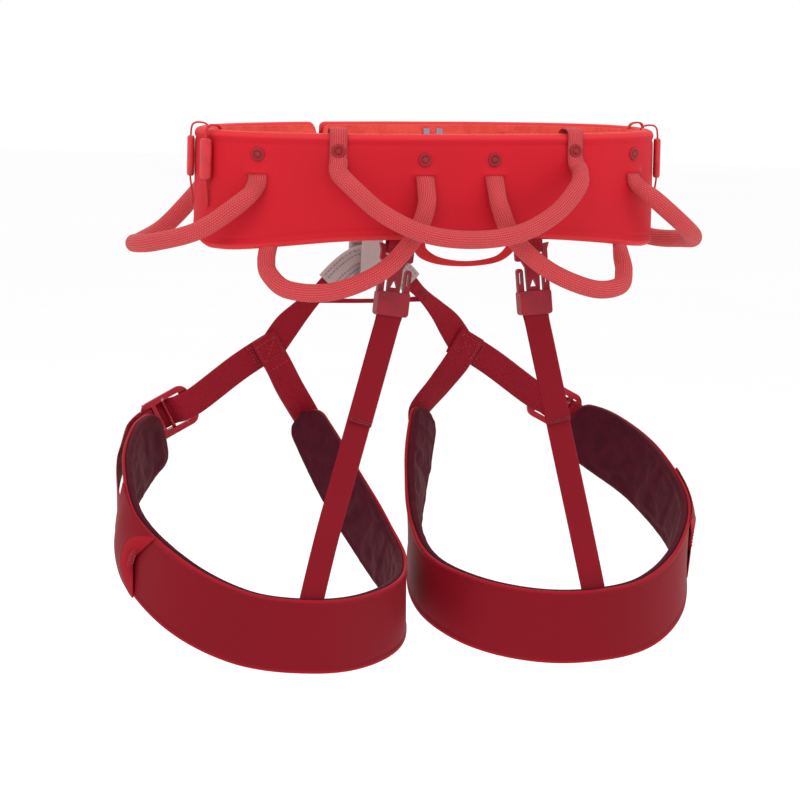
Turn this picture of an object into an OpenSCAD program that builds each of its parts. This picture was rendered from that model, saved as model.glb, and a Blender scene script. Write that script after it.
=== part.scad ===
/* [Waist belt] */
// Half of the belt's outer width, hip to hip
belt_half_width = 165; // [150:1:190]
// Half of the belt's outer depth, back to front
belt_half_depth = 70; // [60:1:100]
// Squareness of the belt seen from above, 2 is an ellipse
belt_squareness = 2.4; // [2:0.1:3]
// Height of the belt's top edge above the waist centre
belt_top = 40; // [35:1:45]
// Height of the bottom edge at the middle of the back
belt_bottom_back = -32; // [-36:1:-28]
// Height of the bottom edge at its lowest, beside the kidneys
belt_bottom_side = -41; // [-46:1:-38]
// Height of the bottom edge in front
belt_bottom_front = -14; // [-20:1:-10]
// Thickness of the foam
foam_thickness = 8; // [5:0.5:10]

/* [Webbing] */
// Width of the waist webbing
waist_webbing_width = 25; // [20:1:30]
// Width of the leg webbing
leg_webbing_width = 20; // [16:1:22]
// Width of the elastic risers
riser_width = 17.5; // [15:0.5:20]
// Thickness of all webbing
webbing_thickness = 1.4; // [1:0.1:1.8]

/* [Gear loops] */
// Outer radius of a gear loop's woven sheath
gear_tube_radius = 6.2; // [5:0.1:6.4]
// Outer radius of its plastic core
gear_core_radius = 4.8; // [3.5:0.1:4.8]

/* [Leg loops] */
// How far the leg loops sit from the belt's middle
leg_shift = -5; // [-6:1:0]
// Thickness of the leg padding
leg_foam_thickness = 6; // [4:0.5:7]

/* [Hidden] */

shell_red = [0.80, 0.12, 0.15];
loop_red = [0.85, 0.30, 0.28];
webbing_red = [0.62, 0.06, 0.12];
lining_coral = [0.90, 0.30, 0.22];
padding_maroon = [0.32, 0.08, 0.13];
grey_textile = [0.62, 0.60, 0.60];
anodised_red = [0.60, 0.08, 0.12];

shell_thickness = 1.6;
layer_gap = 0.2;
lining_thickness = 1;
foam_outside = -shell_thickness - layer_gap;
foam_inside = foam_outside - foam_thickness;
lining_outside = foam_inside - layer_gap;
lining_inside = lining_outside - lining_thickness;
// the two ends of the pad meet in front, left of the middle, measured round from the back
pad_end_left = -161.5;
pad_end_right = 197;

// ---------- general geometry ----------

function unit(v) = v / norm(v);

function smoothstep(x, low, high) =
    let (t = min(1, max(0, (x - low) / (high - low)))) t * t * (3 - 2 * t);

// a point on a Catmull-Rom span from b to c
function span_point(a, b, c, d, t) =
    0.5 * (2 * b + (c - a) * t + (2 * a - 5 * b + 4 * c - d) * t * t + (3 * b - a - 3 * c + d) * t * t * t);

// rows of numbers smoothed, with "steps" points in each span
function smooth_rows(rows, steps) = [
    for (i = [0:len(rows) - 2])
        let (
            before = i > 0 ? rows[i - 1] : 2 * rows[i] - rows[i + 1],
            after = i < len(rows) - 2 ? rows[i + 2] : 2 * rows[i + 1] - rows[i]
        )
            for (k = [0:steps - 1]) span_point(before, rows[i], rows[i + 1], after, k / steps),
    rows[len(rows) - 1]
];

function place(row) = [row[0], row[1], row[2]];

function heading(rows, i) =
    unit(place(rows[min(i + 1, len(rows) - 1)]) - place(rows[max(i - 1, 0)]));

// v with its part along "along" taken out
function square_to(v, along) = unit(v - (v * along) * along);

function mirror_rows(rows) = [for (r = rows) [-r[0], each [for (k = [1:len(r) - 1]) r[k]]]];

function volume_sign(points, faces) =
    sign([for (f = faces) points[f[0]] * cross(points[f[1]], points[f[2]])] * [for (f = faces) 1]);

function turned(faces) = [for (f = faces) [f[2], f[1], f[0]]];

function wall(start, rings, sides, closed) = [
    for (i = [0:rings - (closed ? 1 : 2)])
        for (j = [0:sides - 1])
            let (
                near = start + i * sides,
                far = start + ((i + 1) % rings) * sides,
                next = (j + 1) % sides
            )
                each [[near + j, near + next, far + next], [near + j, far + next, far + j]]
];

// an end closed by strips between the two long sides, so that a curved section closes too
function fan(start, sides) = [
    for (j = [0:sides / 2 - 2])
        let (a = start + j, b = start + sides - 1 - j)
            each [[a, a + 1, b - 1], [a, b - 1, b]]
];

// a solid through rings of points, capped at both ends or closed on itself
module loft(rings, closed = false) {
    sides = len(rings[0]);
    points = [for (r = rings) each r];
    faces = concat(
        wall(0, len(rings), sides, closed),
        closed ? [] : turned(fan(0, sides)),
        closed ? [] : fan((len(rings) - 1) * sides, sides)
    );
    polyhedron(points, volume_sign(points, faces) > 0 ? turned(faces) : faces, convexity = 8);
}

// the same with a second set of rings as its hollow, open at both ends
module hollow_loft(outer, inner) {
    sides = len(outer[0]);
    shift = len(outer) * sides;
    last = (len(outer) - 1) * sides;
    points = concat([for (r = outer) each r], [for (r = inner) each r]);
    ends = [
        for (j = [0:sides - 1])
            let (next = (j + 1) % sides)
                each [
                    [j, shift + j, shift + next], [j, shift + next, next],
                    [last + j, shift + last + next, shift + last + j],
                        [last + j, last + next, shift + last + next]
                ]
    ];
    faces = concat(wall(0, len(outer), sides, false), turned(wall(shift, len(inner), sides, false)), ends);
    polyhedron(points, volume_sign(points, faces) > 0 ? turned(faces) : faces, convexity = 8);
}

// rings of a round tube, kept from twisting by a direction square to the loop
function tube_rings(rows, radius, sides, plane) = [
    for (i = [0:len(rows) - 1])
        let (
            along = heading(rows, i),
            up = square_to(plane, along),
            out = cross(along, up)
        )
            [for (j = [0:sides - 1]) place(rows[i]) + radius * (cos(360 * j / sides) * out + sin(360 * j / sides) * up)]
];

// rings of a flat strap: rows are x, y, z, the direction across the strap, and the half width
function strap_rings(rows, thickness, lift = 0) = [
    for (i = [0:len(rows) - 1])
        let (
            along = heading(rows, i),
            across = square_to([rows[i][3], rows[i][4], rows[i][5]], along),
            face = cross(along, across),
            middle = place(rows[i]) + lift * face,
            w = rows[i][6] * across,
            t = thickness / 2 * face
        )
            [middle - w - t, middle + w - t, middle + w + t, middle - w + t]
];

module strap(rows, thickness = webbing_thickness, lift = 0) loft(strap_rings(rows, thickness, lift));

// ---------- waist belt ----------

function signed_power(v, e) = sign(v) * pow(abs(v), e);

// a point on the belt's outline, "out" beyond the shell, at angle t from the middle of the back
function belt_point(t, out, z) = [
    (belt_half_width + out) * signed_power(sin(t), 2 / belt_squareness),
    -(belt_half_depth + out) * signed_power(cos(t), 2 / belt_squareness),
    z
];

function belt_bottom(t) =
    let (turn = abs(t) > 180 ? 360 - abs(t) : abs(t))
        belt_bottom_back
        + (belt_bottom_side - belt_bottom_back) * smoothstep(turn, 10, 70)
        + (belt_bottom_front - belt_bottom_side) * smoothstep(turn, 78, 128);

function belt_out(t) = let (p = belt_point(t + 1, 0, 0) - belt_point(t - 1, 0, 0)) unit([p[1], -p[0], 0]);

function belt_on(t, out, z) = belt_point(t, 0, z) + out * belt_out(t);

module belt_layer(outside, inside, trim) {
    steps = 72;
    loft([
        for (i = [0:steps])
            let (
                t = pad_end_left + (pad_end_right - pad_end_left) * i / steps,
                low = belt_bottom(t) + trim,
                high = belt_top - trim
            )
                [belt_point(t, outside, low), belt_point(t, outside, high), belt_point(t, inside, high),
                    belt_point(t, inside, low)]
    ]);
}

// turns a child drawn with +Y pointing away from the belt and stands it on the belt
module on_belt(t, out, z) {
    direction = belt_out(t);
    translate(belt_on(t, out, z)) rotate([0, 0, atan2(direction[1], direction[0]) - 90]) children();
}

module belt_shell() color(shell_red) belt_layer(0, -shell_thickness, 0);
module belt_foam() color(shell_red) belt_layer(foam_outside, foam_inside, 0.8);
module belt_lining() color(lining_coral) belt_layer(lining_outside, lining_inside, 0.4);

module size_label()
    color(grey_textile)
        for (turn = [175.4, 172.6])
            on_belt(turn, lining_inside - 0.5, 30) cube([4.5, 0.6, 8], center = true);

// ---------- waist webbing, buckle and tie-in point ----------

strap_height = 12;
strap_out = 1.2 + webbing_thickness / 2;
buckle_turn = -158.5;
tie_in_x = -8;

function belt_strap_rows(turns, out, z, half) = [for (t = turns) [each belt_on(t, out, z), 0, 0, 1, half]];

// the buckle stands square on its own flat: x runs along the strap, y away from the wearer
buckle_place = belt_on(buckle_turn, 5.2, strap_height);
buckle_facing = atan2(belt_out(buckle_turn)[1], belt_out(buckle_turn)[0]) - 90;

function turn_z(p, angle) = [p[0] * cos(angle) - p[1] * sin(angle), p[0] * sin(angle) + p[1] * cos(angle),
    p[2]];

function at_waist_buckle(x, y) = buckle_place + turn_z([x, y, 0], buckle_facing);

module waist_webbing() {
    half = waist_webbing_width / 2;
    sewn = belt_strap_rows([for (t = [130:6:190]) t], strap_out, strap_height, half);
    through = [for (p = buckle_path) [each at_waist_buckle(p[0], p[1]), 0, 0, 1, half]];
    tail = concat(belt_strap_rows([-147, -141], 7, strap_height, half),
        belt_strap_rows([-134, -126, -118], 4.4, strap_height, half));
    color(shell_red) strap(smooth_rows(concat(sewn, through, tail), 2));
}

module waist_buckle_anchor() {
    half = waist_webbing_width / 2;
    loop = [for (p = anchor_path) [each at_waist_buckle(p[0], p[1]), 0, 0, 1, half]];
    sewn = belt_strap_rows([-147.5, -141, -134, -128], strap_out, strap_height, half);
    color(shell_red) strap(smooth_rows(concat(loop, sewn), 2), 1.2);
}

// the way webbing goes up through a buckle's window, over its bar and out under the lip
buckle_path = [[22, -2.6], [9, -2.6], [4.6, 0.2], [2, 4.3], [-1.5, 5.6], [-8, 6.4], [-15, 6.4], [-21, 5.6]];
// the way an anchor loop goes round the buckle's end bar
anchor_path = [[-24, 2], [-18, 2.3], [-14.2, 1.9], [-12.4, 0], [-14.2, -1.9], [-18, -2.3]];

// a pressed metal frame with a window for the strap and a slot for its anchor
module buckle_frame(webbing, corner = 4) {
    height = webbing + 10;
    rotate([90, 0, 0])
        linear_extrude(height = 2, center = true)
            difference() {
                hull()
                    for (x = [corner - 20, 18 - corner]) for (z = [-1, 1])
                        translate([x, z * (height / 2 - corner)]) circle(r = corner, $fn = 32);
                translate([1.5, 0]) square([19, webbing + 1.6], center = true);
                translate([-13.2, 0]) square([4.2, webbing + 1.6], center = true);
            }
}

// the tilting half of the buckle: a round bar in the window, two cheeks and a lip
module buckle_slider(webbing) {
    cheek = webbing / 2 + 1.3;
    translate([-1.5, 2.8, 0]) {
        cylinder(h = webbing + 3.4, r = 1.4, center = true, $fn = 32);
        for (side = [-1, 1]) translate([-6, 2.15, side * (cheek + 0.5)])
            cube([14, 6.1, 1.6], center = true);
        translate([-12, 5.6, 0]) cube([4, 1.6, webbing + 5.6], center = true);
    }
}

module at_buckle() translate(buckle_place) rotate([0, 0, buckle_facing]) children();
module waist_buckle_frame() color(anodised_red) at_buckle() buckle_frame(waist_webbing_width);
module waist_buckle_slider() color(anodised_red) at_buckle() buckle_slider(waist_webbing_width);

module waist_strap_keeper()
    color(webbing_red)
        on_belt(-127, 0, strap_height)
            difference() {
                translate([0, 3.3, 0]) cube([8, 6, waist_webbing_width + 5], center = true);
                translate([0, 3.3, 0]) cube([9, 4.6, waist_webbing_width + 2], center = true);
            }

// a strap across the front, standing off the waist webbing so a rope can pass behind it
module upper_tie_in_loop()
    color(grey_textile)
        strap(smooth_rows([
            for (p = [[-26, 73.8], [-20, 74.4], [-14, 80], [0, 84], [14, 80], [20, 74.4], [26, 73.8]])
                [tie_in_x + p[0], p[1], strap_height, 0, 0, 1, 11]
        ], 3), 1.4);

// ---------- belay loop and lower tie-in point ----------

belay_width = 16;
belay_line = [
    [78.4, 20], [78.8, 4], [83.5, -22], [89.5, -46], [91, -63.5], [94.8, -72.7], [104, -76.5],
        [113.2, -72.7],
    [117, -63.5], [115, -46], [106, -24], [92, 2], [88.6, 20], [83.5, 29]
];

function ring_smooth(rows, steps) = [
    for (i = [0:len(rows) - 1])
        for (k = [0:steps - 1])
            span_point(
                rows[(i + len(rows) - 1) % len(rows)], rows[i], rows[(i + 1) % len(rows)],
                rows[(i + 2) % len(rows)], k / steps
            )
];

function belay_section(before, here, after, half_width, half_thickness) =
    let (along = unit(after - before), out = [along[1], -along[0]] * half_thickness, inner = here + out,
        outer = here - out)
        [
            [tie_in_x - half_width, inner[0], inner[1]], [tie_in_x + half_width, inner[0], inner[1]],
            [tie_in_x + half_width, outer[0], outer[1]], [tie_in_x - half_width, outer[0], outer[1]]
        ];

module belay_loop() {
    line = ring_smooth(belay_line, 3);
    n = len(line);
    color(webbing_red)
        loft([for (i = [0:n - 1]) belay_section(line[(i + n - 1) % n], line[i], line[(i + 1) % n],
            belay_width / 2, 1.5)], closed = true);
}

module belay_loop_sleeve() {
    line = ring_smooth(belay_line, 3);
    color(grey_textile)
        hollow_loft(
            [for (i = [26:32]) belay_section(line[i - 1], line[i], line[i + 1], belay_width / 2 + 1.4,
                2.7)],
            [for (i = [26:32]) belay_section(line[i - 1], line[i], line[i + 1], belay_width / 2 + 0.3, 1.8)]
        );
}

tie_y = 104;
// half of the arch that joins the leg loops, outward x and z, from its top down to its end
tie_arch = [[0, -60], [12, -62.5], [23, -70.4], [31.5, -78.9]];

module lower_tie_in_sleeve()
    color(grey_textile)
        strap(smooth_rows([
            for (i = [-3:3]) [leg_shift + sign(i) * tie_arch[abs(i)][0], tie_y, tie_arch[abs(i)][1],
                i / 4, 0, 1, 9]
        ], 2), 5);

module leg_bridge_strap()
    color(webbing_red)
        strap([for (x = [-24, -8, 8, 24]) [leg_shift + x, tie_y, -91.5, 0, 0, 1, 1.8]], 1.2);

// ---------- trim on the back of the belt ----------

module gear_loop_rivets()
    color([0.16, 0.14, 0.15])
        for (side = [-1, 1])
            for (r = [[6, 22.7, 0.2], [27, 28.4, 1.8], [53, 25, 0.2]])
                on_belt(side * r[0], r[2], r[1]) rotate([-90, 0, 0]) cylinder(h = 1.4, r = 2.8, $fn = 32);

module centre_loop_tabs()
    color(loop_red)
        for (side = [-1, 1]) {
            around = belt_point(side * 27 + 1, 0, 0) - belt_point(side * 27 - 1, 0, 0);
            strap(smooth_rows([
                for (p = [[-12, 30], [-12.3, 38], [-10.5, 42.2], [-5.5, 43], [-0.5, 42.4], [1.4, 38.5],
                    [1, 30], [1, 21]])
                    [each belt_on(side * 27, p[0], p[1]), each around, 6]
            ], 2), 1);
        }

tool_slots = [-97, -79, 79, 97];

module tool_slot_straps()
    color(shell_red)
        for (t = tool_slots) {
            around = belt_point(t + 1, 0, 0) - belt_point(t - 1, 0, 0);
            strap(smooth_rows([
                for (p = [[1.2, 40.5], [3.4, 38], [5.2, 34], [5.2, 26], [5.2, 12], [5.2, 5], [3, -3],
                    [1.2, -8], [1.5, -13]])
                    [each belt_on(t, p[0], p[1]), each around, 1.4]
            ], 2), 1);
        }

module tool_slot_sleeves()
    color([0.16, 0.14, 0.15])
        for (t = tool_slots)
            on_belt(t, 5.2, 7) difference() {
                cylinder(h = 26, r = 3.2, $fn = 32);
                translate([0, 0, -1]) cylinder(h = 28, r = 1.9, $fn = 24);
            }

module haul_loop()
    color(loop_red)
        strap(smooth_rows([
            [-26, -65, -34, 0, 1, 0.6, 4.4], [-23, -66, -41, 0, 0.9, 0.8, 4],
                [-11, -67, -46.5, 0, 0.5, 1, 3],
            [8, -67, -48.5, 0, 0.5, 1, 2.4], [28, -66.5, -46, 0, 0.5, 1, 2.6],
                [38, -65.5, -40, 0, 0.9, 0.8, 3],
            [40, -65, -34, 0, 1, 0.6, 3.4]
        ], 3), 1.2);

// ---------- gear loops ----------

front_gear_line = [
    [140.6, -52.6, 13], [150, -55, -6], [177, -46, -26], [198, -12, -37], [203, 22, -41], [191, 50, -42],
    [170, 67, -34], [152, 70, -14], [143, 62, 6]
];
rear_gear_line = [
    [25, -77.2, 14], [27, -78.6, -10], [37, -80.5, -31], [61, -86, -52], [94, -83, -65], [120, -68, -65],
    [129, -53, -56], [130, -44, -49.5]
];
centre_gear_line = [
    [-88, -71.5, 20], [-81, -84, 5], [-62, -93, -12], [-34, -99, -25], [0, -101, -29], [34, -99, -25],
    [62, -93, -12], [81, -84, 5], [88, -71.5, 20]
];

function loop_plane(rows) = unit(cross(rows[len(rows) - 1] - rows[0],
    rows[floor(len(rows) / 2)] - rows[0]));

module gear_sheath(line)
    color(loop_red)
        let (rows = smooth_rows(line, 3), plane = loop_plane(line))
            hollow_loft(tube_rings(rows, gear_tube_radius, 10, plane),
                tube_rings(rows, gear_core_radius + 0.3, 10, plane));

module gear_core(line)
    color([0.16, 0.14, 0.15])
        loft(tube_rings(smooth_rows(line, 3), gear_core_radius, 10, loop_plane(line)));

module left_front_gear_sheath() gear_sheath(mirror_rows(front_gear_line));
module left_front_gear_core() gear_core(mirror_rows(front_gear_line));
module right_front_gear_sheath() gear_sheath(front_gear_line);
module right_front_gear_core() gear_core(front_gear_line);
module left_rear_gear_sheath() gear_sheath(mirror_rows(rear_gear_line));
module left_rear_gear_core() gear_core(mirror_rows(rear_gear_line));
module right_rear_gear_sheath() gear_sheath(rear_gear_line);
module right_rear_gear_core() gear_core(rear_gear_line);
module centre_gear_sheath() gear_sheath(centre_gear_line);
module centre_gear_core() gear_core(centre_gear_line);

// ---------- elastic risers and their buckles ----------
// side is -1 on the wearer's left and 1 on the right; x is counted outward from the leg loops' middle

module on_side(side) translate([leg_shift, 0, 0]) mirror([side < 0 ? 1 : 0, 0, 0]) children();

function riser_top(side) = [side < 0 ? 36 : 60.6, -62, -39];
function riser_lean(side) = side < 0 ? 7.5 : 4;
riser_slope = 5.4;
riser_end_height = -271;
bar_drop = 42.2;

function turn_x(p, a) = [p[0], p[1] * cos(a) - p[2] * sin(a), p[1] * sin(a) + p[2] * cos(a)];
function turn_y(p, a) = [p[0] * cos(a) + p[2] * sin(a), p[1], p[2] * cos(a) - p[0] * sin(a)];

// riser points: y away from the wearer, z up along the riser
function at_riser_point(side, y, z) =
    riser_top(side) + turn_y(turn_x([0, -y, z], -riser_slope), -riser_lean(side));
function riser_across(side) = turn_y([1, 0, 0], -riser_lean(side));

module at_riser(side)
    on_side(side) translate(riser_top(side)) rotate([-riser_slope, -riser_lean(side), 0])
        rotate([0, 0, 180]) children();

module riser_anchor(side)
    color(webbing_red)
        on_side(side)
            strap(smooth_rows([
                for (p = [[3.5, 5], [3.1, 2], [0, -2.6], [-3.1, 2], [-3.5, 5]])
                    [each at_riser_point(side, p[0], p[1]), each riser_across(side), 8]
            ], 4), 1.2);

module standing_plate(thickness) rotate([90, 0, 0]) linear_extrude(height = thickness, center = true)
    children();

// upper half: an eye for the webbing, a neck with a three-sided window, and a tongue
module riser_clip(side)
    color(anodised_red)
        at_riser(side) {
            standing_plate(3) difference() {
                union() {
                    hull() for (x = [-10, 10]) for (z = [1.2, -6.6]) translate([x, z])
                        circle(r = 1.8, $fn = 20);
                    for (x = [-1, 1]) polygon([[x * 11.8, -1], [x * 13.4, 3.6], [x * 8.5, 2.9]]);
                    polygon([[-8, -7.5], [8, -7.5], [5, -13], [4.6, -29], [-4.6, -29], [-5, -13]]);
                }
                translate([0, -2]) square([17, 5], center = true);
                polygon([[-2.4, -26], [2.4, -26], [0, -20]]);
            }
            translate([0, 0, -31.5]) cube([8, 2.2, 8], center = true);
        }

// lower half: a pocket for the tongue, two side arms with slots, and a bar for the strap
module riser_buckle(side)
    color(anodised_red)
        at_riser(side) {
            difference() {
                standing_plate(9) hull() {
                    for (x = [-10, 10]) translate([x, -30.5]) circle(r = 1.5, $fn = 20);
                    for (x = [-9, 9]) translate([x, -43]) circle(r = 2.5, $fn = 20);
                }
                translate([0, 0, -31.8]) cube([13, 5.4, 8], center = true);
                translate([0, 0, -41.5]) cube([19.2, 7.2, 9.6], center = true);
            }
            for (x = [-10.5, 10.5]) translate([x, 0, -41]) cube([1.8, 4, 6], center = true);
            translate([0, 0, -bar_drop]) rotate([0, 90, 0])
                cylinder(h = 22.8, r = 1.5, center = true, $fn = 32);
            for (x = [-1, 1])
                standing_plate(4) difference() {
                    hull() for (z = [-31, -15.4]) translate([x * 9.4, z]) circle(r = 2.2, $fn = 20);
                    hull() for (z = [-23.5, -16.5]) translate([x * 9.4, z]) circle(r = 0.9, $fn = 16);
                }
        }

function riser_end(side) = [side < 0 ? 100 : 105, -85, riser_end_height];

module riser_strap(side) {
    start = at_riser_point(side, 0, -bar_drop);
    length = norm(riser_end(side) - start);
    down = unit(riser_end(side) - start);
    across = square_to([1, 0, 0.25], down);
    out = let (n = cross(down, across)) n[1] < 0 ? n : -n;
    front = [for (s = [80, 60, 40, 20, 8]) [each start + s * down + 1.1 * out, each across,
        riser_width / 2]];
    bend = [
        for (p = [[2.6, -bar_drop], [0, 2.6 - bar_drop], [-2.6, -bar_drop]])
            [each at_riser_point(side, p[0], p[1]), each riser_across(side), riser_width / 2]
    ];
    back = [for (s = [8, 20, 50, 80, 120, length]) [each start + s * down - 1.1 * out, each across,
        riser_width / 2]];
    color(webbing_red) on_side(side) strap(smooth_rows(concat(front, bend, back), 3), 1.4);
}

module left_riser_anchor() riser_anchor(-1);
module right_riser_anchor() riser_anchor(1);
module left_riser_clip() riser_clip(-1);
module right_riser_clip() riser_clip(1);
module left_riser_buckle() riser_buckle(-1);
module right_riser_buckle() riser_buckle(1);
module left_riser_strap() riser_strap(-1);
module right_riser_strap() riser_strap(1);

// ---------- leg loops ----------
// rows run from the inner front end, under the crotch, round the back to the outer front end:
// outward x, y, z, half width

leg_rows = [
    [46, 112, -174, 14], [27, 76, -221, 19], [12, 34, -259, 22], [9, -8, -280, 23], [26, -52, -292, 25],
    [62, -80, -299, 26], [104, -90, -299, 26], [148, -80, -293, 26], [184, -50, -275, 26],
        [205, -4, -247, 26],
    [196, 44, -216, 25], [176, 80, -196, 24], [156, 100, -186, 20]
];
leg_middle = [105, 10, 0];
leg_last = len(leg_rows) - 1;

function leg_at(u) =
    let (
        i = min(floor(max(u, 0)), leg_last - 1),
        b = leg_rows[i],
        c = leg_rows[i + 1],
        a = i > 0 ? leg_rows[i - 1] : 2 * b - c,
        d = i < leg_last - 1 ? leg_rows[i + 2] : 2 * c - b
    )
        span_point(a, b, c, d, max(u, 0) - i);
function leg_along(u) = unit(place(leg_at(min(u + 0.05, leg_last))) - place(leg_at(max(u - 0.05, 0))));
function leg_out(u) = let (p = leg_at(u))
    square_to([p[0] - leg_middle[0], p[1] - leg_middle[1], 0], leg_along(u));
function leg_up(u) = let (w = cross(leg_out(u), leg_along(u))) w * sign(w[2]);
function leg_on(u, out, up) = place(leg_at(u)) + out * leg_out(u) + up * leg_up(u);

// a layer of the leg loop: "section" gives pairs of (out, how far in from the edge, which edge)
module leg_layer(section, from = 0, to = 12, steps = 4)
    loft([
        for (i = [0:(to - from) * steps])
            let (u = from + i / steps, half = leg_at(u)[3])
                [for (p = section) leg_on(u, p[0], p[2] * (half - p[1]))]
    ]);

module leg_shell(side)
    color(shell_red) on_side(side) leg_layer([[0, 0.6, -1], [0, 0.6, 1], [1.6, 1.4, 1], [1.6, 1.4, -1]]);

module leg_padding(side)
    color(padding_maroon)
        on_side(side)
            leg_layer([
                [-0.2, 1.2, -1], [-0.2, 1.2, 1], [-0.2 - leg_foam_thickness / 2, 0, 1],
                    [-0.2 - leg_foam_thickness, 1.6, 1],
                [-0.2 - leg_foam_thickness, 1.6, -1], [-0.2 - leg_foam_thickness / 2, 0, -1]
            ]);

leg_half = leg_webbing_width / 2;

module leg_tie_in_strap(side)
    color(webbing_red)
        on_side(side)
            strap(smooth_rows([
                [32.7, 104, -80, 0.7, 0, 0.7, leg_half], [41, 104, -88.3, 0.7, 0, 0.7, leg_half],
                    [52, 104, -99, 0.7, 0, 0.7, leg_half],
                [62, 104.5, -110, 0.75, 0, 0.6, leg_half], [71, 105, -123, 0.8, 0, 0.5, leg_half],
                    [77, 105, -133, 0.8, 0, 0.5, leg_half]
            ], 3));

module leg_inner_strap(side)
    color(webbing_red)
        on_side(side)
            strap(smooth_rows([
                [80, 102.6, -117, 0.86, 0, -0.5, leg_half], [73, 102.6, -129, 0.86, 0, -0.5, leg_half],
                [67, 103, -139, 0.86, 0, -0.5, leg_half], [57, 109, -155, 0.8, 0.2, -0.5, leg_half],
                for (p = [[0.02, 5], [0.35, 3.3], [0.75, 3]]) [each leg_on(p[0], p[1], 0),
                    each -leg_up(p[0]), leg_half]
            ], 3));

buckle_at = [146, 108, -171];
buckle_swing = 208;
function at_leg_buckle(x, y, z = 0) = buckle_at + turn_y([x, y, z], buckle_swing);
leg_buckle_across = turn_y([0, 0, 1], buckle_swing);

module leg_outer_strap(side) {
    start = [for (p = [[66, 107, -121], [78, 107, -127.5], [98, 106.6, -140]]) [each p,
        each leg_buckle_across, leg_half]];
    through = [for (p = buckle_path) [each at_leg_buckle(p[0], p[1]), each leg_buckle_across, leg_half]];
    over = [for (p = [[-30, 0.5, 1], [-37, -8.5, 2.5]]) [each at_leg_buckle(p[0], p[1], p[2]),
        each leg_buckle_across, leg_half]];
    tail = [
        for (p = [[10.8, 9.2, 3.5], [10.4, 7.6, 3], [10, 5.6, 2], [9.5, 3.3, 0], [9.1, 3, 0], [8.6, 3, 0],
            [8.2, 3.4, 0]])
            [each leg_on(p[0], p[1], p[2]), each -leg_up(p[0]), leg_half]
    ];
    color(webbing_red) on_side(side) strap(smooth_rows(concat(start, through, over, tail), 3), 1.4);
}

module leg_buckle_anchor(side) {
    loop = [for (p = anchor_path) [each at_leg_buckle(p[0], p[1]), each leg_buckle_across, leg_half]];
    bend = [[each at_leg_buckle(-22.5, -5, 1), each leg_buckle_across, leg_half]];
    down = [for (p = [[11.4, 3.4], [11, 3], [10.7, 3]]) [each leg_on(p[0], p[1], 5), each -leg_up(p[0]),
        leg_half]];
    color(webbing_red) on_side(side) strap(smooth_rows(concat(loop, bend, down), 3), 1.2);
}

module at_leg_buckle_frame(side) on_side(side) translate(buckle_at) rotate([0, buckle_swing, 0]) children();

module leg_junction_patch(side)
    color(webbing_red)
        on_side(side)
            standing_plate(1.2)
                translate([74, -127]) rotate(-28) hull() for (x = [-7, 7]) for (z = [-7, 7])
                    translate([x, z]) circle(r = 2, $fn = 16);

module leg_strap_keeper(side)
    color(webbing_red)
        on_side(side)
            leg_layer([
                [2, 0.8, -1], [2.9, 2.2, -1], [4.6, 3.4, -1], [4.6, 3.4, 1], [2.9, 2.2, 1], [2, 0.8, 1],
                [2.6, 0.2, 1], [3.6, 1.2, 1], [5.6, 2.6, 1], [5.6, 2.6, -1], [3.6, 1.2, -1], [2.6, 0.2, -1]
            ], 8.7, 9.45, 8);

module left_leg_shell() leg_shell(-1);
module right_leg_shell() leg_shell(1);
module left_leg_padding() leg_padding(-1);
module right_leg_padding() leg_padding(1);
module left_leg_tie_in_strap() leg_tie_in_strap(-1);
module right_leg_tie_in_strap() leg_tie_in_strap(1);
module left_leg_junction_patch() translate([0, 109.4, 0]) leg_junction_patch(-1);
module right_leg_junction_patch() translate([0, 109.4, 0]) leg_junction_patch(1);
module left_leg_inner_strap() leg_inner_strap(-1);
module right_leg_inner_strap() leg_inner_strap(1);
module left_leg_outer_strap() leg_outer_strap(-1);
module right_leg_outer_strap() leg_outer_strap(1);
module left_leg_buckle_anchor() leg_buckle_anchor(-1);
module right_leg_buckle_anchor() leg_buckle_anchor(1);
module left_leg_buckle_frame() color(anodised_red) at_leg_buckle_frame(-1)
    buckle_frame(leg_webbing_width, 7);
module right_leg_buckle_frame() color(anodised_red) at_leg_buckle_frame(1)
    buckle_frame(leg_webbing_width, 7);
module left_leg_buckle_slider() color(anodised_red) at_leg_buckle_frame(-1)
    buckle_slider(leg_webbing_width);
module right_leg_buckle_slider() color(anodised_red) at_leg_buckle_frame(1)
    buckle_slider(leg_webbing_width);
module left_leg_strap_keeper() leg_strap_keeper(-1);
module right_leg_strap_keeper() leg_strap_keeper(1);

belt_shell();
belt_foam();
belt_lining();
size_label();
waist_webbing();
waist_buckle_anchor();
waist_buckle_frame();
waist_buckle_slider();
waist_strap_keeper();
upper_tie_in_loop();
belay_loop();
belay_loop_sleeve();
lower_tie_in_sleeve();
leg_bridge_strap();
gear_loop_rivets();
centre_loop_tabs();
tool_slot_straps();
tool_slot_sleeves();
haul_loop();
left_front_gear_sheath();
left_front_gear_core();
right_front_gear_sheath();
right_front_gear_core();
left_rear_gear_sheath();
left_rear_gear_core();
right_rear_gear_sheath();
right_rear_gear_core();
centre_gear_sheath();
centre_gear_core();
left_riser_anchor();
right_riser_anchor();
left_riser_clip();
right_riser_clip();
left_riser_buckle();
right_riser_buckle();
left_riser_strap();
right_riser_strap();
left_leg_shell();
right_leg_shell();
left_leg_padding();
right_leg_padding();
left_leg_tie_in_strap();
right_leg_tie_in_strap();
left_leg_junction_patch();
right_leg_junction_patch();
left_leg_inner_strap();
right_leg_inner_strap();
left_leg_outer_strap();
right_leg_outer_strap();
left_leg_buckle_anchor();
right_leg_buckle_anchor();
left_leg_buckle_frame();
right_leg_buckle_frame();
left_leg_buckle_slider();
right_leg_buckle_slider();
left_leg_strap_keeper();
right_leg_strap_keeper();
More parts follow.
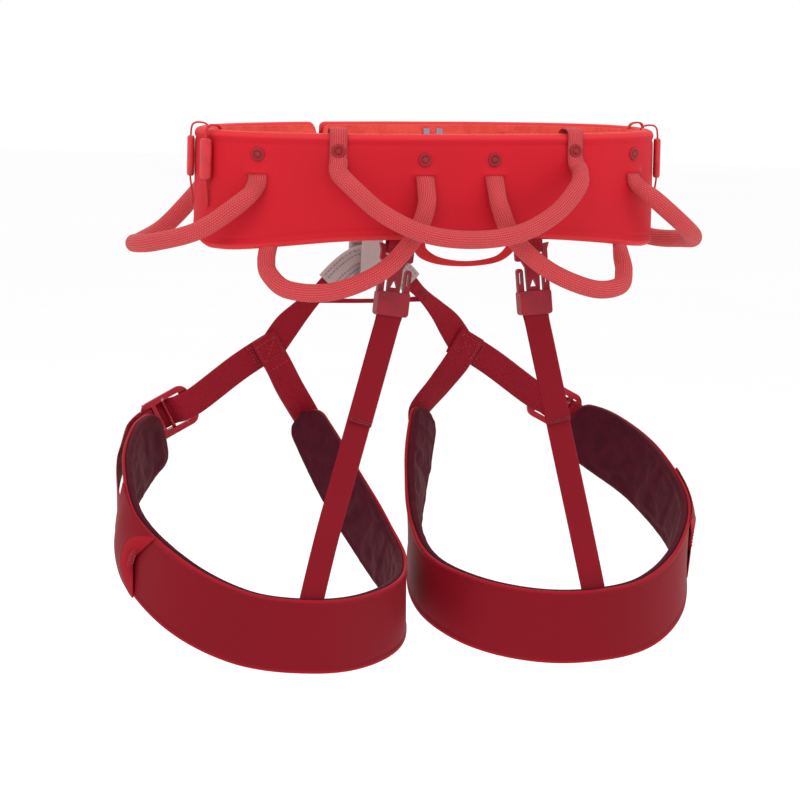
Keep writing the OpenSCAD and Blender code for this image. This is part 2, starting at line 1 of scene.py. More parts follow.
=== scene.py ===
"""Looks of the climbing harness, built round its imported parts.

Lengths are written in millimetres and directions as plain triples; a mesh is turned into metres
when it is made. The wearer faces +Y, so the back of the belt is at -Y. Pieces of the leg loops are
worked out for the right leg, counted outward from the middle of the two loops, and mirrored for
the left one.
"""

import math

import bpy
import numpy as np
from mathutils import Matrix


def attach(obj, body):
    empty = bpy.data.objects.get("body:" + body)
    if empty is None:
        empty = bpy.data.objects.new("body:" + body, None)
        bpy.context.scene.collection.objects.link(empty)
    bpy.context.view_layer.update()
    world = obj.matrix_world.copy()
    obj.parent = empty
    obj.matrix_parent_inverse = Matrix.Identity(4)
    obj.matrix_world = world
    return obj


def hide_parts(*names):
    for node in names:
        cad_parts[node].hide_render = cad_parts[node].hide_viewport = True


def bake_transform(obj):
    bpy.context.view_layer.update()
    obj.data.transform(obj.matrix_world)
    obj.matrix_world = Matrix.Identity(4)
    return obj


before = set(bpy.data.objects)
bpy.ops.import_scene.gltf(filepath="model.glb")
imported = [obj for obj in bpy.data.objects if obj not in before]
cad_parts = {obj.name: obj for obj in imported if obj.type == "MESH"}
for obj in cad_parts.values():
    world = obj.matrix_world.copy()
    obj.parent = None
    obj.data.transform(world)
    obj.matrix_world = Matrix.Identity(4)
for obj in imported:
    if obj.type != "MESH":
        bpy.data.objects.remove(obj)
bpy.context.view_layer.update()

MM = 0.001
UP = np.array([0.0, 0.0, 1.0])


# ---------- lines and directions ----------

def unit(v):
    """Each row of v divided by its own length."""
    v = np.asarray(v, float)
    return v / np.maximum(np.linalg.norm(v, axis=-1, keepdims=True), 1e-12)


def smoothstep(x, low, high):
    """0 below low, 1 above high, and 3t^2 - 2t^3 between, where t is the fraction of the way."""
    t = np.clip((x - low) / (high - low), 0, 1)
    return t * t * (3 - 2 * t)


def bump(x, middle, width):
    """A bell: e to the minus square of the distance from the middle, counted in widths."""
    return np.exp(-((x - middle) / width) ** 2)


def span(a, b, c, d, t):
    """A Catmull-Rom span, from b at t = 0 to c at t = 1."""
    return 0.5 * (2 * b + (c - a) * t + (2 * a - 5 * b + 4 * c - d) * t**2 + (3 * b - a - 3 * c + d) * t**3)


def lengths(line):
    """How far along a line each of its points is."""
    return np.concatenate([[0], np.cumsum(np.linalg.norm(np.diff(line, axis=0), axis=1))])


def round_ring(ring):
    """How far round a closed ring each of its points is, and last the whole way round."""
    return lengths(np.vstack([ring, ring[:1]]))


def smooth_line(rows, spacing=1.5, closed=False, steps=24):
    """Rows joined by Catmull-Rom spans, then read off at even steps along the first three columns."""
    rows = np.asarray(rows, float)
    if closed:
        padded = np.vstack([rows[-1], rows, rows[0], rows[1]])
    else:
        padded = np.vstack([2 * rows[0] - rows[1], rows, 2 * rows[-1] - rows[-2]])
    t = np.linspace(0, 1, steps, endpoint=False)[:, None]
    spans = [span(*four, t) for four in zip(padded[:-3], padded[1:-2], padded[2:-1], padded[3:])]
    line = np.vstack(spans + [padded[-2][None]])
    travel = lengths(line[:, :3])
    count = max(int(travel[-1] / spacing), 8)
    at = np.linspace(0, travel[-1], count + 1)
    line = np.stack([np.interp(at, travel, line[:, k]) for k in range(line.shape[1])], axis=1)
    return (line[:-1] if closed else line), at


def headings(line, closed=False):
    """The direction of a line at each of its points: from the point before to the point after."""
    if closed:
        return unit(np.roll(line, -1, 0) - np.roll(line, 1, 0))
    return unit(np.gradient(line, axis=0))


def square_to(v, along):
    """v without its part along a direction, one unit long."""
    return unit(v - np.sum(v * along, -1, keepdims=True) * along)


# ---------- meshes ----------

def make_object(name, points, faces, uv=None, edge=None):
    """A smooth mesh object at the origin, from points in millimetres; uv has a pair for each face corner."""
    mesh = bpy.data.meshes.new(name)
    mesh.from_pydata((np.asarray(points) * MM).tolist(), [], [list(map(int, f)) for f in faces])
    mesh.polygons.foreach_set("use_smooth", np.ones(len(mesh.polygons), bool))
    if uv is not None:
        mesh.uv_layers.new(name="Cloth").data.foreach_set("uv", np.asarray(uv, float).ravel())
    if edge is not None:
        values = mesh.attributes.new("edge", "FLOAT", "POINT").data
        values.foreach_set("value", np.asarray(edge, float).ravel())
    mesh.update()
    obj = bpy.data.objects.new(name, mesh)
    bpy.context.collection.objects.link(obj)
    return obj


def skin(name, grid, along, across, loop=False, edge=None):
    """A closed skin over a grid of rings: ring i, point j. Quads join the rings, and a fan closes each end.

    along and across are the lengths printed into the uv map, in metres.
    """
    rings, sides = grid.shape[:2]
    i = np.arange(rings if loop else rings - 1)[:, None]
    j = np.arange(sides)[None]
    a, b = i * sides + j, i * sides + (j + 1) % sides
    c, d = ((i + 1) % rings) * sides + (j + 1) % sides, ((i + 1) % rings) * sides + j
    quads = np.stack([a, b, c, d], -1).reshape(-1, 4)
    points = grid.reshape(-1, 3)
    across = np.asarray(across, float)
    along = np.asarray(along, float)
    if len(along) == rings:
        along = np.append(along, 2 * along[-1] - along[-2])
    if len(across) == sides:
        across = np.append(across, across[0])
    u0, u1 = along[i + 0 * j], along[i + 1 + 0 * j]
    v0, v1 = across[j + 0 * i], across[j + 1 + 0 * i]
    uv = np.stack([np.stack(pair, -1) for pair in ((u0, v0), (u0, v1), (u1, v1), (u1, v0))], 2)
    faces, corner_uv = quads.tolist(), [uv.reshape(-1, 2)]
    edges = None if edge is None else np.broadcast_to(edge, (rings, sides)).ravel()
    if not loop:
        middles = np.stack([grid[0].mean(0), grid[-1].mean(0)])
        first, last = len(points), len(points) + 1
        points = np.vstack([points, middles])
        k, last_ring = np.arange(sides), (rings - 1) * sides
        after = (k + 1) % sides
        start = np.stack([after, k, np.full(sides, first)], -1)
        end = np.stack([k + last_ring, after + last_ring, np.full(sides, last)], -1)
        faces += start.tolist() + end.tolist()
        flat = np.stack([across[k], across[k + 1], np.full(sides, across.mean())], -1)
        corner_uv.append(np.stack([np.full_like(flat, along[0]), flat[:, [1, 0, 2]]], -1).reshape(-1, 2))
        corner_uv.append(np.stack([np.full_like(flat, along[rings - 1]), flat], -1).reshape(-1, 2))
        if edges is not None:
            edges = np.append(edges, [1, 1])
    q = points[quads]
    volume = sum(np.sum(q[:, 0] * np.cross(q[:, k], q[:, k + 1])) for k in (1, 2))
    uv_all = np.vstack(corner_uv)
    if volume < 0:
        sizes = np.array([len(f) for f in faces])
        starts = np.concatenate([[0], np.cumsum(sizes)[:-1]])
        order = np.concatenate([np.arange(s + n - 1, s - 1, -1) for s, n in zip(starts, sizes)])
        faces, uv_all = [f[::-1] for f in faces], uv_all[order]
    return make_object(name, points, faces, uv_all, edges)


def flat_section(count=11, corner=8):
    """A flat strap's section: y is plus or minus the root of 1 - |x|^corner, with x bunched at the edges."""
    x = np.sin(np.linspace(-np.pi / 2, np.pi / 2, count))
    y = np.sqrt(np.maximum(1 - np.abs(x) ** corner, 0))
    return np.concatenate([np.stack([x, y], -1), np.stack([x[::-1][1:-1], -y[::-1][1:-1]], -1)])


def round_section(count=28):
    """A circle."""
    t = np.linspace(0, 2 * np.pi, count, endpoint=False)
    return np.stack([np.cos(t), np.sin(t)], -1)


class Ribbon:
    """A strap or a tube: a smooth line through rows, with a direction across it and one out of its face.

    Each row is x, y, z, a direction, half the width and half the thickness. The direction is the one
    across the strap or, for a tube, the one its face looks to. A section point (a, b) lands at the
    line + a * half width * across + b * half thickness * face.
    """

    def __init__(self, rows, spacing=1.5, closed=False, facing=False):
        line, self.travel = smooth_line(rows, spacing, closed)
        self.closed, self.length = closed, self.travel[-1]
        self.place, self.along = line[:, :3], headings(line[:, :3], closed)
        direction = square_to(line[:, 3:6], self.along)
        self.across = np.cross(direction, self.along) if facing else direction
        self.face = direction if facing else np.cross(self.along, direction)
        self.half = line[:, 6:8]

    def grid(self, section):
        a, b = section[:, 0][None, :, None], section[:, 1][None, :, None]
        width, depth = self.half[:, 0][:, None, None], self.half[:, 1][:, None, None]
        return self.place[:, None] + a * width * self.across[:, None] + b * depth * self.face[:, None]

    def strap(self, name, shape=None):
        """The flat strap; shape(along, a, b) may move its skin along its face, in millimetres."""
        section = flat_section()
        grid = self.grid(section)
        if shape is not None:
            lift = shape(self.travel[: len(grid), None], section[None, :, 0], section[None, :, 1])
            grid = grid + lift[..., None] * self.face[:, None]
        width = self.half[:, 0].mean()
        edge = np.abs(section[:, 0])[None]
        return skin(name, grid, self.travel * MM, section[:, 0] * width * MM, loop=self.closed, edge=edge)

    def tube(self, name, sides=28):
        around = np.linspace(0, 1, sides + 1) * 2 * np.pi * self.half.max()
        return skin(name, self.grid(round_section(sides)), self.travel * MM, around * MM, loop=self.closed)

    def on(self, along, across, toward=None, lift=0.0):
        """Points on the face that looks a given way, or else outward; across runs from -1 to 1."""
        read = [
            np.stack([np.interp(along, self.travel[: len(v)], v[:, k]) for k in range(v.shape[1])], -1)
            for v in (self.place, self.along, self.across, self.face, self.half)
        ]
        place, heading, over, face, half = read
        away = place * [1, 1, 0] if toward is None else np.broadcast_to(toward, place.shape)
        face = unit(face) * np.sign(np.sum(face * away, -1, keepdims=True))
        point = place + (across * half[:, 0])[:, None] * over + (half[:, 1] + lift)[:, None] * face
        return point, unit(heading), unit(over), face


def rows_of(points, directions, half_width, half_thickness):
    """Rows for a ribbon: points, one direction or one for each point, and the two half sizes."""
    points = np.asarray(points, float)
    directions = np.broadcast_to(np.asarray(directions, float), points.shape)
    size = np.broadcast_to(np.stack(np.broadcast_arrays(half_width, half_thickness), -1), (len(points), 2))
    return np.hstack([points, directions, size])


def other_side(rows):
    """Rows for the mirrored side: x and the x part of the direction change sign."""
    rows = np.array(rows, float)
    rows[:, [0, 3]] *= -1
    return rows


def stitches(name, points, run, normal, length=2.1, width=0.42, height=0.34):
    """One mesh of thread stitches: each is a low oval, five points round, that dives in at both ends."""
    steps = np.array([
        [-0.5, 0.25, -0.25], [-0.3, 0.85, 0.55], [0.0, 1.0, 1.0], [0.3, 0.85, 0.55], [0.5, 0.25, -0.25],
    ])
    turn = np.linspace(0, 2 * np.pi, 5, endpoint=False)
    run, normal = unit(run), unit(normal)
    side = np.cross(normal, run)
    ring = points[:, None, None] + (steps[:, 0] * length)[None, :, None, None] * run[:, None, None]
    ring = ring + (steps[:, 2] * height)[None, :, None, None] * normal[:, None, None]
    wide = (steps[:, 1, None] * np.cos(turn) * width)[None, ..., None] * side[:, None, None]
    tall = (steps[:, 1, None] * np.sin(turn) * width * 0.7)[None, ..., None] * normal[:, None, None]
    grid = (ring + wide + tall).reshape(-1, 3)
    i, j = np.meshgrid(np.arange(4), np.arange(5), indexing="ij")
    after, first = (j + 1) % 5, (np.arange(len(points)) * 25)[:, None, None]
    quad = np.stack([i * 5 + j, (i + 1) * 5 + j, (i + 1) * 5 + after, i * 5 + after], -1).reshape(-1, 4)
    many = (quad[None] + first).reshape(-1, 4)
    ends = np.stack([np.arange(5), 20 + np.arange(5)[::-1]])
    caps = (ends[None] + first).reshape(-1, 5)
    q = grid[quad[:1]][0]
    flip = np.dot(np.cross(q[1] - q[0], q[2] - q[0]), q[0] - grid[:25].mean(0)) < 0
    faces = many.tolist() + caps.tolist()
    return make_object(name, grid, [f[::-1] for f in faces] if flip else faces)


def sewn(name, ribbon, lines, look, body, toward=None, pitch=2.6, **size):
    """Stitches along straight lines on a strap; each line runs from (along, across) to (along, across)."""
    points, runs, normals = [], [], []
    for (s0, a0), (s1, a1) in lines:
        half = ribbon.half[:, 0].mean()
        count = max(int(np.hypot(s1 - s0, (a1 - a0) * half) / pitch), 1)
        f = (np.arange(count) + 0.5) / count
        point, along, over, normal = ribbon.on(s0 + (s1 - s0) * f, a0 + (a1 - a0) * f, toward, 0.02)
        points.append(point)
        runs.append((s1 - s0) * along + (a1 - a0) * half * over)
        normals.append(normal)
    obj = stitches(name, np.vstack(points), np.vstack(runs), np.vstack(normals), **size)
    return finish(obj, look, body)


def box_lines(start, end, width=0.78):
    """A sewn box with its two diagonals."""
    a, b = (start, -width), (start, width)
    c, d = (end, width), (end, -width)
    return [(a, b), (b, c), (c, d), (d, a), (a, c), (b, d)]


def bar_lines(start, rows, gap, width=0.8):
    """Close rows of stitches straight across the strap."""
    return [((start + k * gap, -width), (start + k * gap, width)) for k in range(rows)]


def ripples(where, size, waves=26, seed=1):
    """Soft random hills: the sum of sine waves about one size long, each with its own direction and start."""
    pick = np.random.default_rng(seed)
    way = unit(pick.normal(size=(waves, where.shape[-1]))) / (size * pick.uniform(0.6, 1.7, (waves, 1)))
    start = pick.uniform(0, 2 * np.pi, waves)
    return np.sin(2 * np.pi * where @ way.T + start).sum(-1) / math.sqrt(waves)


# ---------- node materials ----------

def math_method(operation, swapped=False):
    """A method that adds a Math node for a wire and another value, which comes first if they are swapped."""
    def act(wire, other):
        first, second = (other, wire) if swapped else (wire, other)
        return wire._with(operation, first, second)

    return act


class Wire:
    """A value that varies over a surface. Python's operators on it add the Math node of the same name."""

    def __init__(self, finish, socket):
        self.finish, self.socket = finish, socket

    def _with(self, operation, first, second=None):
        inputs = {0: first} if second is None else {0: first, 1: second}
        return self.finish.node("ShaderNodeMath", {"operation": operation}, inputs)

    __add__, __radd__ = math_method("ADD"), math_method("ADD", swapped=True)
    __sub__, __rsub__ = math_method("SUBTRACT"), math_method("SUBTRACT", swapped=True)
    __mul__, __rmul__ = math_method("MULTIPLY"), math_method("MULTIPLY", swapped=True)
    __truediv__, __pow__ = math_method("DIVIDE"), math_method("POWER")

    def __abs__(self):
        return self._with("ABSOLUTE", self)

    def wave(self, turns):
        """The sine of the value times turns full circles."""
        return self._with("SINE", self * (2 * math.pi * turns))

    def fraction(self):
        return self._with("FRACT", self)

    def step(self, low, high):
        """0 below low and 1 above high, smoothly."""
        inputs = {"Value": self, "From Min": low, "From Max": high}
        return self.finish.node("ShaderNodeMapRange", {"interpolation_type": "SMOOTHSTEP"}, inputs)


class Finish:
    """A material being put together."""

    def __init__(self, name, **constants):
        self.material = bpy.data.materials.new(name)
        self.material.use_nodes = True
        self.tree = self.material.node_tree
        self.tree.nodes.clear()
        self.surface = self.tree.nodes.new("ShaderNodeBsdfPrincipled")
        end = self.tree.nodes.new("ShaderNodeOutputMaterial")
        self.tree.links.new(self.surface.outputs[0], end.inputs["Surface"])
        for socket, value in constants.items():
            self.surface.inputs[socket.replace("_", " ")].default_value = value

    def node(self, kind, settings=None, inputs=None, output=0):
        """Adds a node: its settings first, then the values or wires of its sockets. Gives one output."""
        node = self.tree.nodes.new(kind)
        for key, value in (settings or {}).items():
            setattr(node, key, value)
        for socket, value in (inputs or {}).items():
            if isinstance(value, Wire):
                self.tree.links.new(value.socket, node.inputs[socket])
            else:
                node.inputs[socket].default_value = value
        return Wire(self, node.outputs[output])

    def place(self):
        """Where the point is on the object, in metres."""
        return self.node("ShaderNodeTexCoord", output="Object")

    def cloth(self):
        """Lengths along and across the cloth, in metres."""
        both = self.node("ShaderNodeUVMap", {"uv_map": "Cloth"})
        split = self.node("ShaderNodeSeparateXYZ", inputs={0: both})
        return split, Wire(self, split.socket.node.outputs[1])

    def edge(self):
        return self.node("ShaderNodeAttribute", {"attribute_name": "edge"}, output="Fac")

    def noise(self, scale, detail=3.0, where=None, rough=0.5):
        inputs = {"Vector": where or self.place(), "Scale": scale, "Detail": detail, "Roughness": rough}
        return self.node("ShaderNodeTexNoise", inputs=inputs)

    def mix(self, amount, first, second):
        """A colour the given part of the way from the first to the second."""
        four = [(*c, 1) if isinstance(c, tuple) else c for c in (first, second)]
        return self.node("ShaderNodeMix", {"data_type": "RGBA"}, {0: amount, 6: four[0], 7: four[1]}, output=2)

    def set(self, **wires):
        for socket, wire in wires.items():
            self.tree.links.new(wire.socket, self.surface.inputs[socket.replace("_", " ")])
        return self

    def relief(self, height, distance, strength):
        """Turns a height from 0 to 1 into bumps that many metres high."""
        inputs = {"Height": height, "Distance": distance, "Strength": strength}
        return self.set(Normal=self.node("ShaderNodeBump", inputs=inputs))


def shade(colour, by):
    return tuple(c * by for c in colour)


def fibrous(name, specular, sheen, softness=0.4, tint=(1.0, 0.3, 0.3, 1), **constants):
    """A material with the tinted sheen of loose fibres."""
    sheens = {"Sheen_Weight": sheen, "Sheen_Roughness": softness, "Sheen_Tint": tint}
    return Finish(name, Specular_IOR_Level=specular, **sheens, **constants)


def shell_cloth(name, colour, rim, roughness=0.62):
    """Tight woven cloth over foam: a fine plain weave, slow changes of tone, and a rim painted lighter as a
    painted highlight where the rolled edge catches the light.
    """
    f = fibrous(name, 0.14, 0.06, 0.45, (1.0, 0.3, 0.25, 1), Roughness=roughness)
    where = f.place()
    slow, fine = f.noise(14, 2, where), f.noise(900, 2, where)
    u, v = f.cloth()
    weave = (u.wave(1400) * v.wave(1400)) * 0.5 + 0.5
    tone = slow.step(0.3, 0.7)
    body = f.mix(tone * 0.5 + fine * 0.25, shade(colour, 0.93), shade(colour, 1.07))
    # painted highlight: the rolled rims are mixed toward the lighter rim colour
    rim_highlight = f.edge().step(0.55, 1.0)
    f.set(Base_Color=f.mix(rim_highlight * (0.55 + 0.3 * fine), body, rim), Roughness=roughness - 0.06 + slow * 0.12)
    return f.relief(weave * 0.4 + fine * 0.6, 0.00012, 0.6)


def webbing(name, colour, rib=0.0011, roughness=0.6, groove=0.0036, sheen=0.08):
    """Woven tape: raised ribs across it, a few grooves along it, flatter darker edges, and loose fibres."""
    f = fibrous(name, 0.2, sheen)
    u, v = f.cloth()
    where = f.place()
    fibre, slow = f.noise(1500, 2, where), f.noise(30, 2, where)
    shift = (v / groove).fraction().step(0.45, 0.55)
    ribs = (u + shift * (rib / 2)).wave(1 / rib) * 0.5 + 0.5
    grooves = abs(v.wave(0.5 / groove))
    selvedge = f.edge().step(0.80, 0.92)
    height = ribs * (1 - selvedge * 0.7) * 0.55 + grooves.step(0.0, 0.5) * 0.35 + fibre * 0.15
    # The ribs also set the tone: painted shade in the troughs between them.
    tone = ribs * 0.35 + slow * 0.45 + fibre * 0.2
    plain = f.mix(tone, shade(colour, 0.72), shade(colour, 1.22))
    f.set(Base_Color=f.mix(selvedge * 0.35, plain, shade(colour, 0.8)), Roughness=roughness + 0.1 * fibre)
    return f.relief(height, 0.00035, 0.8)


def elastic(name, colour):
    """Elastic tape: close fine ribs across, and soft lines along where the rubber runs."""
    f = fibrous(name, 0.16, 0.05)
    u, v = f.cloth()
    where = f.place()
    slow, fibre = f.noise(22, 2, where), f.noise(1300, 2, where)
    ribs, lines = u.wave(1600) * 0.5 + 0.5, v.wave(650) * 0.5 + 0.5
    selvedge = f.edge().step(0.82, 0.95)
    # The ribs also set the tone: painted shade in the troughs between them.
    plain = f.mix(slow * 0.6 + ribs * 0.2 + fibre * 0.2, shade(colour, 0.82), shade(colour, 1.14))
    f.set(Base_Color=f.mix(selvedge * 0.3, plain, shade(colour, 1.35)), Roughness=0.62 + 0.1 * fibre)
    return f.relief(ribs * 0.4 + lines * 0.6, 0.00015, 0.7)


def braid(name, colour):
    """A knitted tube: columns of stitches run along it, and each stitch leans to alternate sides; the stitch tops
    carry a painted highlight and the hollows painted shade.
    """
    f = fibrous(name, 0.2, 0.12, tint=(1.0, 0.45, 0.42, 1))
    u, v = f.cloth()
    where = f.place()
    fibre, slow = f.noise(1600, 2, where), f.noise(60, 2, where)
    column = 0.0017
    lean = abs((v / column).fraction() - 0.5)
    ridge = 1 - (lean * 2) ** 2
    shift = (v / (2 * column)).fraction().step(0.48, 0.52)
    stitch = (u + lean * 0.0014 + shift * (column / 2)).wave(1 / column) * 0.5 + 0.5
    height = ridge * 0.3 + stitch * 0.7 * ridge + fibre * 0.12
    # The colour follows the stitch height: painted shade in the hollows, painted highlight on the tops.
    tone = height * 0.9 + slow * 0.1
    light = tuple(min(c * 1.35 + 0.03, 1) for c in colour)
    f.set(Base_Color=f.mix(tone, shade(colour, 0.5), light), Roughness=0.7 + 0.12 * fibre)
    return f.relief(height, 0.0006, 1.0)


def spacer_mesh(name, colour, deep, scale):
    """Knitted mesh: small round holes in staggered rows over soft creases, with painted shade in the holes and in
    the hollows of the creases.
    """
    f = fibrous(name, 0.15, 0.06, 0.5, (1.0, 0.3, 0.25, 1))
    where = f.place()
    cells = f.node("ShaderNodeTexVoronoi", inputs={"Vector": where, "Scale": scale, "Randomness": 0.35})
    holes = cells.step(0.12, 0.45)
    crease = f.noise(110, 3, where, 0.4)
    fibre = f.noise(1800, 2, where)
    # painted shade: holes and crease hollows are mixed toward the deep colour
    knit = f.mix(holes * 0.6 + crease.step(0.35, 0.6) * 0.4, deep, colour)
    f.set(Base_Color=knit, Roughness=0.75 + 0.1 * fibre)
    return f.relief(holes * 0.35 + crease.step(0.3, 0.7) * 0.65, 0.0006, 0.7)


def moulded(name, colour, gloss):
    """Injection-moulded plastic: a fine texture, a slightly uneven gloss and rubbed corners."""
    f = Finish(name, Specular_IOR_Level=0.35, Coat_Weight=0.04, Coat_Roughness=0.3)
    where = f.place()
    fine, slow = f.noise(1100, 2, where), f.noise(90, 3, where)
    tone = slow.step(0.35, 0.65)
    f.set(Base_Color=f.mix(tone, shade(colour, 0.9), shade(colour, 1.1)), Roughness=gloss + slow * 0.16)
    return f.relief(fine * 0.7 + slow * 0.3, 0.00006, 0.5)


def anodised(name, colour):
    """Anodised aluminium: brushed one way, with bare metal on the rubbed spots."""
    f = Finish(name, Metallic=0.85, Specular_IOR_Level=0.5)
    where = f.place()
    stretched = f.node("ShaderNodeMapping", inputs={"Vector": where, "Scale": (40.0, 900.0, 900.0)})
    brushed, spots = f.noise(1.0, 4, stretched), f.noise(160, 4, where)
    rub = spots.step(0.62, 0.75)
    bare, dyed = (0.72, 0.66, 0.64), f.mix(brushed, shade(colour, 0.85), shade(colour, 1.2))
    f.set(Base_Color=f.mix(rub * 0.6, dyed, bare), Roughness=0.24 + brushed * 0.18)
    return f.relief(brushed, 0.00003, 0.5)


def thread(name, colour):
    f = Finish(name, Specular_IOR_Level=0.4, Sheen_Weight=0.3, Sheen_Roughness=0.3)
    twist = f.noise(2500, 2)
    tone = f.mix(twist, shade(colour, 0.75), shade(colour, 1.25))
    return f.set(Base_Color=tone, Roughness=0.45 + twist * 0.2)


def plain_floor():
    f = Finish("pale_floor", Roughness=0.9, Specular_IOR_Level=0.1)
    return f.set(Base_Color=f.mix(f.noise(3, 2), (0.97, 0.97, 0.97), (0.99, 0.99, 0.99)))


# The rim colours are lighter: a painted highlight along the rolled rims of the cloth.
CORAL = (0.54, 0.009, 0.020)
CORAL_RIM_HIGHLIGHT = (0.68, 0.035, 0.040)
CRIMSON = (0.195, 0.0012, 0.0080)
CRIMSON_RIM_HIGHLIGHT = (0.36, 0.004, 0.014)
FINISHES = {
    "belt": shell_cloth("belt_cloth", CORAL, CORAL_RIM_HIGHLIGHT),
    "leg": shell_cloth("leg_cloth", CRIMSON, CRIMSON_RIM_HIGHLIGHT),
    # The second colour of each knitted mesh is its painted shade, for the holes and creases.
    "lining": spacer_mesh("lining_mesh", (0.72, 0.085, 0.060), (0.60, 0.045, 0.032), 520),
    "padding": spacer_mesh("padding_mesh", (0.064, 0.0022, 0.0105), (0.032, 0.0014, 0.0060), 700),
    "braid": braid("gear_loop_braid", (0.62, 0.048, 0.055)),
    "coral_tape": webbing("coral_tape", (0.56, 0.022, 0.028)),
    "tape": webbing("crimson_tape", (0.27, 0.0016, 0.0125)),
    "elastic": elastic("crimson_elastic", (0.205, 0.0012, 0.0085)),
    "grey_tape": webbing("grey_tape", (0.46, 0.38, 0.37), rib=0.0009, sheen=0.05),
    "grey_label": webbing("label_tape", (0.28, 0.30, 0.40), rib=0.0008, sheen=0.1),
    "clip": moulded("clip_plastic", (0.25, 0.002, 0.013), 0.42),
    "sleeve": moulded("sleeve_plastic", (0.55, 0.018, 0.026), 0.4),
    "core": moulded("core_plastic", (0.05, 0.04, 0.04), 0.5),
    "metal": anodised("buckle_metal", (0.36, 0.02, 0.032)),
    "rivet": moulded("rivet_plastic", (0.27, 0.008, 0.013), 0.5),
    "thread": thread("red_thread", (0.30, 0.006, 0.016)),
    "dark_thread": thread("dark_thread", (0.16, 0.008, 0.012)),
    "grey_thread": thread("grey_thread", (0.22, 0.19, 0.19)),
    "floor": plain_floor(),
}


def finish(obj, look, body, *nodes, slot=None):
    """Paints a piece, lets it ride on a body, or bakes it in place when given several, and hides the parts it
    stands for.
    """
    obj.data.materials.clear()
    obj.data.materials.append(FINISHES[look].material)
    if isinstance(body, tuple):
        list(body)
        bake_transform(obj)
    else:
        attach(obj, body)
    if nodes:
        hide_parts(*nodes)
    return obj


# ---------- camera and light ----------

def make_camera():
    """A camera behind the belt and to the wearer's left, a little above it and a little rolled."""
    azimuth, height, roll = math.radians(-19.0), math.radians(7.3), math.radians(1.3)
    distance, view_width = 3000.0, 560.0
    target = np.array([-15.4, 0.0, -150.7])
    flat = math.cos(height)
    back = np.array([math.sin(azimuth) * flat, -math.cos(azimuth) * flat, math.sin(height)])
    level = np.array([math.cos(azimuth), math.sin(azimuth), 0.0])
    upright = np.cross(back, level)
    right = level * math.cos(roll) + upright * math.sin(roll)
    up = upright * math.cos(roll) - level * math.sin(roll)
    data = bpy.data.cameras.new("camera")
    data.sensor_width = 36.0
    data.lens = data.sensor_width * distance / view_width
    camera = bpy.data.objects.new("camera", data)
    matrix = np.eye(4)
    matrix[:3, :3] = np.stack([right, up, back], -1)
    matrix[:3, 3] = (target + distance * back) * MM
    camera.matrix_world = Matrix(matrix.tolist())
    bpy.context.collection.objects.link(camera)
    bpy.context.scene.camera = camera


def area_light(name, place, size, power):
    """A square soft box at a place in metres, turned to the middle of the harness."""
    data = bpy.data.lights.new(name, "AREA")
    data.shape, data.size, data.energy = "SQUARE", size, power
    light = bpy.data.objects.new(name, data)
    back = unit(np.array(place) - (0, 0, -0.12))
    right = unit(np.cross(UP, back))
    matrix = np.eye(4)
    matrix[:3, :3] = np.stack([right, np.cross(back, right), back], -1)
    matrix[:3, 3] = place
    light.matrix_world = Matrix(matrix.tolist())
    bpy.context.collection.objects.link(light)


def make_studio():
    """A pale floor under the hanging harness, a white room and four soft boxes."""
    bpy.context.scene.view_settings.view_transform = "Standard"
    floor_height, reach = -0.62, 9.0
    points = np.hstack([reach * round_section(64), np.full((64, 1), floor_height)])
    floor = make_object("floor", points / MM, [range(64)])
    floor.data.materials.append(FINISHES["floor"].material)
    world = bpy.data.worlds.new("room")
    world.use_nodes = True
    sky = world.node_tree.nodes["Background"].inputs
    sky[0].default_value, sky[1].default_value = (1.0, 1.0, 1.0, 1), 1.0
    bpy.context.scene.world = world
    area_light("key", (-1.5, -1.9, 1.3), 1.1, 14)
    area_light("side", (1.9, -0.9, 0.5), 0.9, 4)
    area_light("back", (0.6, 2.0, 1.1), 1.2, 8)
    area_light("top", (0.0, -0.2, 1.9), 1.3, 6)


# ---------- the waist belt ----------

BELT_HALF_WIDTH, BELT_HALF_DEPTH, BELT_SQUARENESS = 165.0, 70.0, 2.4
BELT_TOP, BELT_LOW_BACK, BELT_LOW_SIDE, BELT_LOW_FRONT = 40.0, -32.0, -41.0, -14.0
PAD_LEFT_END, PAD_RIGHT_END = -161.5, 197.0
BELT_THICKNESS = 9.8
STRAP_HEIGHT = 12.0
TIE_IN_X = -8.0
REAR_SLIT, CENTRE_TAB, FRONT_SLIT = 6.0, 27.0, 53.0
SLIT_HEIGHT = 11.5
END_CORNER, LINING_THICKNESS, KEEPER_TURN, FRONT_LOOP_TURN = 2.5, 1.6, -127.0, 122.6
EAR = {-1: "left", 1: "right"}


def belt_point(turn, out, z):
    """The outline, at a turn in degrees from the back: half width * sin^(2/n), half depth * -cos^(2/n)."""
    turn, out, z = np.broadcast_arrays(np.asarray(turn, float), out, z)
    s, c = np.sin(np.radians(turn)), np.cos(np.radians(turn))
    e = 2 / BELT_SQUARENESS
    x = (BELT_HALF_WIDTH + out) * np.sign(s) * np.abs(s) ** e
    y = -(BELT_HALF_DEPTH + out) * np.sign(c) * np.abs(c) ** e
    return np.stack([x, y, z], -1)


def belt_around(turn):
    return unit(belt_point(np.asarray(turn) + 1.0, 0, 0) - belt_point(np.asarray(turn) - 1.0, 0, 0))


def belt_out(turn):
    """The way out of the belt: the outline's direction turned a quarter."""
    p = belt_around(turn)
    return np.stack([p[..., 1], -p[..., 0], 0 * p[..., 0]], -1)


def belt_on(turn, out, z):
    """A point that stands a true distance out of the outline."""
    return belt_point(turn, 0, z) + np.asarray(out, float)[..., None] * belt_out(turn)


